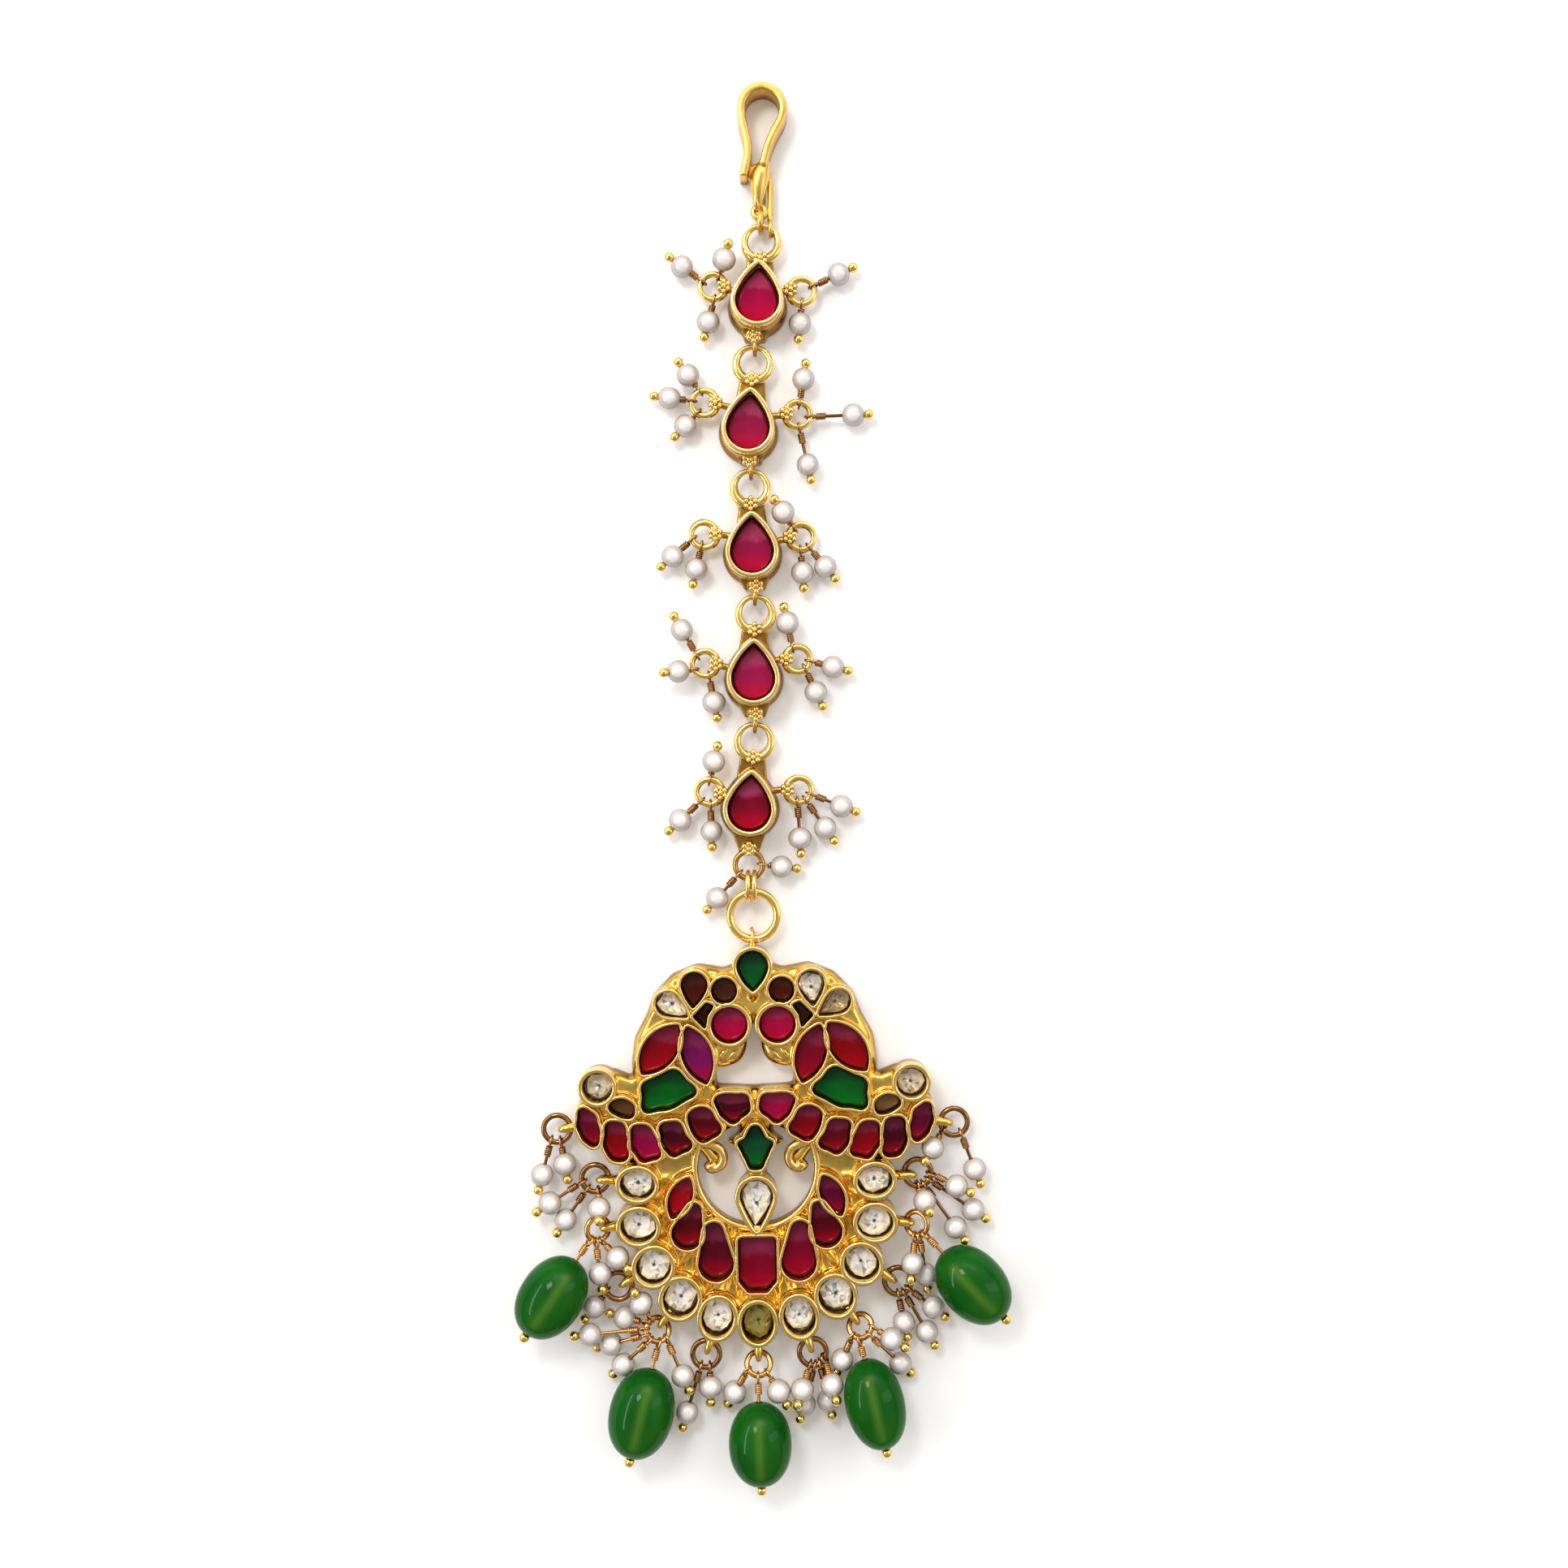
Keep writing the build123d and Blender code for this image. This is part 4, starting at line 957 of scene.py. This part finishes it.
petals = out(flower_tree, "GeometryNodeMeshCircle", {"Vertices": 6, "Radius": taken["Flower Radius"]})
petals = {"Geometry": petals, "Rotation": (0, 0, math.radians(30))}
petals = out(flower_tree, "GeometryNodeTransform", petals)
petals = out(flower_tree, "GeometryNodeMeshToPoints", {"Mesh": petals})
middle = out(flower_tree, "ShaderNodeCombineXYZ", {"Z": taken["Middle Rise"]})
middle = out(flower_tree, "GeometryNodePoints", {"Count": 1, "Position": middle})
seven = flower_tree.nodes.new("GeometryNodeJoinGeometry")
flower_tree.links.new(petals, seven.inputs[0])
flower_tree.links.new(middle, seven.inputs[0])
granule = {"Radius": taken["Granule Radius"], "Subdivisions": 3}
granule = out(flower_tree, "GeometryNodeMeshIcoSphere", granule)
flower = set_on(flower_tree, seven.outputs[0], granule)
close_tree(flower_tree, given, set_on(flower_tree, taken["Geometry"], flower), taken["Metal"])
granule_gold = metal("granule_gold", (0.14, 0.05, 0.008), (1.0, 0.76, 0.32), 2.0, 2.5, 0.12, 0.24)
flower_places = bpy.data.objects.new("flower_places", mesh_of("flower_places", flowers, []))
granules = grown_mesh("granules", flower_places, flower_tree, Metal=granule_gold)
fit(new_piece("granule_flowers", granules, granule_gold), "gold")

# ---- ball-headed pins
# Every pearl and bead hangs on a ball-headed wire pin. Its free end is bent to a loop and wound
# a few times round itself above the drop.
PIN_NODES = [f"link_pins_{number}" for number in range(1, 6)]
PIN_NODES += ["joiner_pins", "cluster_pins_left", "cluster_pins_bottom", "cluster_pins_right", "bead_pins"]
PIN_BALL = 0.55  # from a pin's end to its ball's middle
PIN_LOOP = 0.77  # from its other end to its loop's middle
PIN_END = 1.0  # length over which an end is looked at
WRAP_AT = 0.68  # from the loop's middle to the wound wire
pins = {}
for node in PIN_NODES:
    pins[node] = []
    for corners, faces in read_solids(node):
        centre = corners.mean(axis=0)
        way = svd(corners - centre, full_matrices=False)[2][0]
        along = (corners - centre) @ way
        flat = corners - centre - along[:, None] * way
        ends = [flat[along > along.max() - PIN_END], flat[along < along.min() + PIN_END]]
        thin = [svd(end - end.mean(axis=0), full_matrices=False)[1][1] / math.sqrt(len(end))
                for end in ends]
        if thin[0] < thin[1]:
            way, along = -way, -along
        ball_at = centre + way * (along.max() - PIN_BALL)
        loop_at = centre + way * (along.min() + PIN_LOOP)
        pins[node].append((loop_at, ball_at, way))
    coat(node, ring_gold)
every_pin = [pin for group in pins.values() for pin in group]


def directed_points(name, rows):
    """Loose points, each with the way that its piece faces."""
    dots = mesh_of(name, [at for at, way in rows], [])
    paint(dots, "way", "FLOAT_VECTOR", [way for at, way in rows])
    return bpy.data.objects.new(name, dots)


def facing(tree):
    """The turn that brings a piece's height to the way of its point."""
    way = out(tree, "GeometryNodeInputNamedAttribute", {"Name": "way"}, "Attribute", data_type="FLOAT_VECTOR")
    return out(tree, "FunctionNodeAlignRotationToVector", {"Vector": way}, axis="Z")


wrap_tree, taken, given = geometry_tree(
    "wire_wraps", Turns=5.0, Coil_Radius=0.31 * MM, Wire_Radius=0.13 * MM, Coil_Length=1.15 * MM, Metal=METAL
)
coil = {"Resolution": 12, "Rotations": taken["Turns"], "Start Radius": taken["Coil Radius"],
        "End Radius": taken["Coil Radius"], "Height": taken["Coil Length"]}
coil = out(wrap_tree, "GeometryNodeCurveSpiral", coil)
wire = {"Resolution": 6, "Radius": taken["Wire Radius"]}
wire = out(wrap_tree, "GeometryNodeCurvePrimitiveCircle", wire)
coil = {"Curve": coil, "Profile Curve": wire, "Fill Caps": True}
coil = out(wrap_tree, "GeometryNodeCurveToMesh", coil)
wound = set_on(wrap_tree, taken["Geometry"], coil, Rotation=facing(wrap_tree))
close_tree(wrap_tree, given, wound, taken["Metal"])
rows = [(loop_at + way * WRAP_AT, way) for loop_at, ball_at, way in every_pin]
wraps = grown_mesh("wraps", directed_points("wrap_places", rows), wrap_tree, Metal=ring_gold)
fit(new_piece("pin_wraps", wraps, ring_gold), "ring_gold")

head_tree, taken, given = geometry_tree("pin_heads", Radius=0.62 * MM, Metal=METAL)
head = out(head_tree, "GeometryNodeMeshIcoSphere", {"Radius": taken["Radius"], "Subdivisions": 3})
close_tree(head_tree, given, set_on(head_tree, taken["Geometry"], head), taken["Metal"])
rows = [(ball_at, way) for loop_at, ball_at, way in every_pin]
heads = grown_mesh("heads", directed_points("head_places", rows), head_tree, Metal=plain_gold)
fit(new_piece("pin_head_balls", heads, plain_gold), "gold")

# ---- pearls
# Small cultured pearls, drilled through: not quite round, cream with a faint pink, painted bright in
# the middle and painted shade towards the rim. Each sits on its pin against the ball head.
PEARL_R = 1.38
PEARL_HOLE = 0.25
PEARL_ROWS = 18
PEARL_SIDES = 28
BALL_REACH = 1.86  # from the ball's middle to the pearl's


def turned_mesh(name, profile, sides):
    """A solid turned round its height from a closed profile of (radius, height)."""
    turns = [2 * math.pi * k / sides for k in range(sides)]
    corners = [(r * math.cos(turn), r * math.sin(turn), z) for r, z in profile for turn in turns]
    mesh = mesh_of(name, corners, ring_faces(0, sides, len(profile), closed=True))
    mesh.shade_smooth()
    return mesh


drill_angle = math.asin((PEARL_HOLE + 0.06) / PEARL_R)
profile = [
    (PEARL_R * math.sin(angle), -PEARL_R * math.cos(angle))
    for angle in np.linspace(drill_angle, math.pi - drill_angle, PEARL_ROWS)
]
hole_end = profile[-1][1] - 0.05
profile += [(PEARL_HOLE, height) for height in (hole_end, 0.4, -0.4, -hole_end)]
pearl_form = bpy.data.objects.new("pearl_form", turned_mesh("pearl_form", profile, PEARL_SIDES))

pearl_tree, taken, given = geometry_tree(
    "strung_pearls", Form="NodeSocketObject", Unevenness=0.12 * MM, Seed=0, Finish=METAL
)
shape = out(pearl_tree, "GeometryNodeObjectInfo", {"Object": taken["Form"]}, "Geometry")
plump = {0: (0.96, 0.96, 0.97), 1: (1.04, 1.04, 1.02), "Seed": taken["Seed"]}
plump = out(pearl_tree, "FunctionNodeRandomValue", plump, data_type="FLOAT_VECTOR")
strung = set_on(pearl_tree, taken["Geometry"], shape, Rotation=facing(pearl_tree), Scale=plump)
strung = out(pearl_tree, "GeometryNodeRealizeInstances", {"Geometry": strung})
dents = noise(pearl_tree, out(pearl_tree, "GeometryNodeInputPosition"), 420, 1)
dents = times(pearl_tree, maths(pearl_tree, "SUBTRACT", dents, 0.5), taken["Unevenness"])
dents = scaled(pearl_tree, out(pearl_tree, "GeometryNodeInputNormal"), dents)
strung = out(pearl_tree, "GeometryNodeSetPosition", {"Geometry": strung, "Offset": dents})
close_tree(pearl_tree, given, strung, taken["Finish"])

pearl_finish, tree, shader = new_finish("pearl_lustre", IOR=1.55, Coat_Weight=1.0, Coat_Roughness=0.05)
place = out(tree, "ShaderNodeTexCoord", give="Object")
tone = ramp(tree, noise(tree, place, 210, 2), 0.35, 0.65)
cream = blend(tree, tone, (0.86, 0.83, 0.8, 1), (0.85, 0.8, 0.79, 1))
# painted shade darkens each pearl towards its rim; its middle stays bright as a painted highlight
turned_away = out(tree, "ShaderNodeLayerWeight", {"Blend": 0.5}, "Facing")
cream = blend(tree, ramp(tree, turned_away, 0.02, 0.24, 0.0, 0.85), cream, (0.55, 0.49, 0.45, 1))
cream = blend(tree, ramp(tree, turned_away, 0.25, 0.75, 0.0, 0.9), cream, (0.27, 0.19, 0.13, 1))
satin = ramp(tree, noise(tree, place, 1500, 2), 0.3, 0.7, 0.14, 0.24)
join(tree, shader, Base_Color=cream, Roughness=satin)

for number, node in enumerate(PIN_NODES[:-1]):
    pearl_node = node.replace("pins", "pearls")
    rows = [(ball_at - way * BALL_REACH, way) for loop_at, ball_at, way in pins[node]]
    places = directed_points("pearl_places", rows)
    strung = grown_mesh("pearls", places, pearl_tree, Form=pearl_form, Seed=number, Finish=pearl_finish)
    fit(new_piece(pearl_node + "_strung", strung, pearl_finish), "pearl", pearl_node)
bpy.data.objects.remove(pearl_form)

# ---- green beads
# Five oval beads of cloudy green glass, drilled from end to end; the drill hole shows through as
# a lighter line.
BEAD_FULLNESS = 2.1
BEAD_HOLE = 0.33
BEAD_ROWS = 40
BEAD_SIDES = 56
BEAD_END = 0.992  # the oval stops short of its point, at the hole
CORE_WIDTH = 0.5
bead_glass, tree, shader = new_finish(
    "green_bead_glass",
    IOR=1.42,
    Specular_IOR_Level=0.06,
    Transmission_Weight=0.03,
    Coat_Weight=0.12,
    Coat_Roughness=0.02,
)
milky = noise(tree, out(tree, "ShaderNodeTexCoord", give="Object"), 190, 2, twist=0.4)
deep = blend(tree, ramp(tree, milky, 0.35, 0.7), (0.002, 0.075, 0.005, 1), (0.007, 0.105, 0.006, 1))
# painted glow lightens each bead towards its lower right
bead_painted_glow = ramp(tree, painted(tree, "glow"), -0.2, 1.0, 0.0, 0.7)
deep = blend(tree, bead_painted_glow, deep, (0.022, 0.15, 0.008, 1))
deep = blend(tree, painted(tree, "core"), deep, (0.09, 0.2, 0.02, 1))
join(tree, shader, Base_Color=deep, Roughness=ramp(tree, milky, 0.3, 0.7, 0.06, 0.12))
for number in range(1, 6):
    node = f"green_bead_{number}"
    corners = read_solids(node)[0][0]
    middle = (corners.min(axis=0) + corners.max(axis=0)) / 2
    loop_at, ball_at, way = min(pins["bead_pins"], key=lambda pin: norm(pin[1] - middle))
    along = (corners - ball_at) @ way
    half_length = (along.max() - along.min()) / 2
    centre = ball_at + way * (along.max() + along.min()) / 2
    radius = norm(corners - ball_at - along[:, None] * way, axis=1).max()
    profile = []
    for share in np.sin(math.pi * (np.arange(BEAD_ROWS + 1) / BEAD_ROWS - 0.5)) * BEAD_END:
        girth = radius * (1 - abs(share) ** BEAD_FULLNESS) ** (1 / BEAD_FULLNESS)
        profile.append((max(girth, BEAD_HOLE), share * half_length / BEAD_END))
    profile += [(BEAD_HOLE, half_length * share) for share in (0.6, 0.2, -0.2, -0.6)]
    mesh = turned_mesh("bead_form", profile, BEAD_SIDES)
    turn = Vector((0, 0, 1)).rotation_difference(Vector(way)).to_matrix().to_4x4()
    mesh.transform(Matrix.Translation(Vector(centre) * MM) @ turn)
    skin = corners_of(mesh) / MM - centre
    sideways = skin[:, :2] @ np.array([way[1], -way[0]]) / math.hypot(way[0], way[1])
    from_end = eased((half_length * 0.8 - abs(skin @ way)) / 0.8)
    paint(mesh, "core", "FLOAT", 0.6 * np.exp(-((sideways / CORE_WIDTH) ** 2)) * from_end)
    # the painted glow grows towards the lower right
    paint(mesh, "glow", "FLOAT", (skin[:, 0] * 0.5 - skin[:, 1] * 0.85) / half_length)
    fit(new_piece(node + "_glass", mesh, bead_glass), "green_bead", node)

# ---- the setting
# The jewel lies on a pale table, under soft lamps that stand round the camera. The camera hangs
# straight above.
CAMERA_AT = (2.43, 0.27, 202.0)
FIELD = 185.5
FIELD_HEIGHT = 2
TABLE_REACH = 1500
TABLE_DROP = 0.03
SQUARE = ((-1, -1), (1, -1), (1, 1), (-1, 1))
table = [(x * TABLE_REACH, y * TABLE_REACH, -TABLE_DROP) for x, y in SQUARE]
table = mesh_of("table", table, [(0, 1, 2, 3)])
table_finish, tree, shader = new_finish("table_white", Roughness=0.9, Base_Color=(0.92, 0.93, 0.95, 1))
shader["Emission Color"].default_value = (1, 0.84, 0.66, 1)
rays = add(tree, "ShaderNodeLightPath").outputs
seen = maths(tree, "MAXIMUM", rays["Is Camera Ray"], rays["Is Glossy Ray"])
seen = maths(tree, "MAXIMUM", seen, rays["Is Transmission Ray"])
join(tree, shader, Emission_Strength=times(tree, seen, 0.14))
new_piece("table_top", table, table_finish)

# The room is dim where the camera hangs, bright low in the north, and dim in the south, so that
# polished metal shows light and dark and the stones stay deep.
BANDS = [(0.2, 0.4), (0.42, 0.95), (0.66, 0.95), (0.8, 0.55), (0.9, 0.36), (0.0, 0.15), (1.0, 0.5)]
world = bpy.data.worlds.new("room")
bpy.context.scene.world = world
world.use_nodes = True
room = world.node_tree
sight = out(room, "ShaderNodeTexCoord", give="Generated")
sight = add(room, "ShaderNodeSeparateXYZ", {"Vector": sight}).outputs
overhead = add(room, "ShaderNodeValToRGB", {"Fac": sight["Z"]})
stops = overhead.color_ramp.elements
for position, strength in BANDS:
    stop = stops[int(position) * (len(stops) - 1)] if position in (0, 1) else stops.new(position)
    stop.color = (strength, strength, strength, 1)
north = ramp(room, sight["Y"], -0.7, 0.7, 0.4, 1.8, "LINEAR")
background = room.nodes["Background"].inputs
background["Color"].default_value = (1.0, 0.98, 0.95, 1)
join(room, background, Strength=times(room, overhead.outputs[0], north))


def softbox(name, at, size, power):
    """A flat lamp that faces the middle of the piece."""
    lamp = bpy.data.lights.new(name, "AREA")
    lamp.shape = "RECTANGLE"
    lamp.size, lamp.size_y = size[0] * MM, size[1] * MM
    lamp.energy = power
    box = bpy.data.objects.new(name, lamp)
    box.location = Vector(at) * MM
    box.rotation_euler = (-box.location).to_track_quat("-Z", "Y").to_euler()
    bpy.context.scene.collection.objects.link(box)


softbox("top_box", (60, 340, 260), (300, 120), 0.2)
softbox("left_strip", (-330, 20, 230), (420, 36), 0.5)
softbox("right_box", (340, 40, 240), (120, 300), 0.18)
softbox("key_lamp", (-130, 200, 330), (100, 100), 0.5)

eye = bpy.data.cameras.new("camera")
eye.sensor_width = 36
eye.lens = eye.sensor_width * (CAMERA_AT[2] - FIELD_HEIGHT) / FIELD
eye.clip_start = 0.01
camera = bpy.data.objects.new("camera", eye)
camera.location = Vector(CAMERA_AT) * MM
bpy.context.scene.collection.objects.link(camera)
bpy.context.scene.camera = camera
bpy.context.scene.view_settings.view_transform = "Standard"
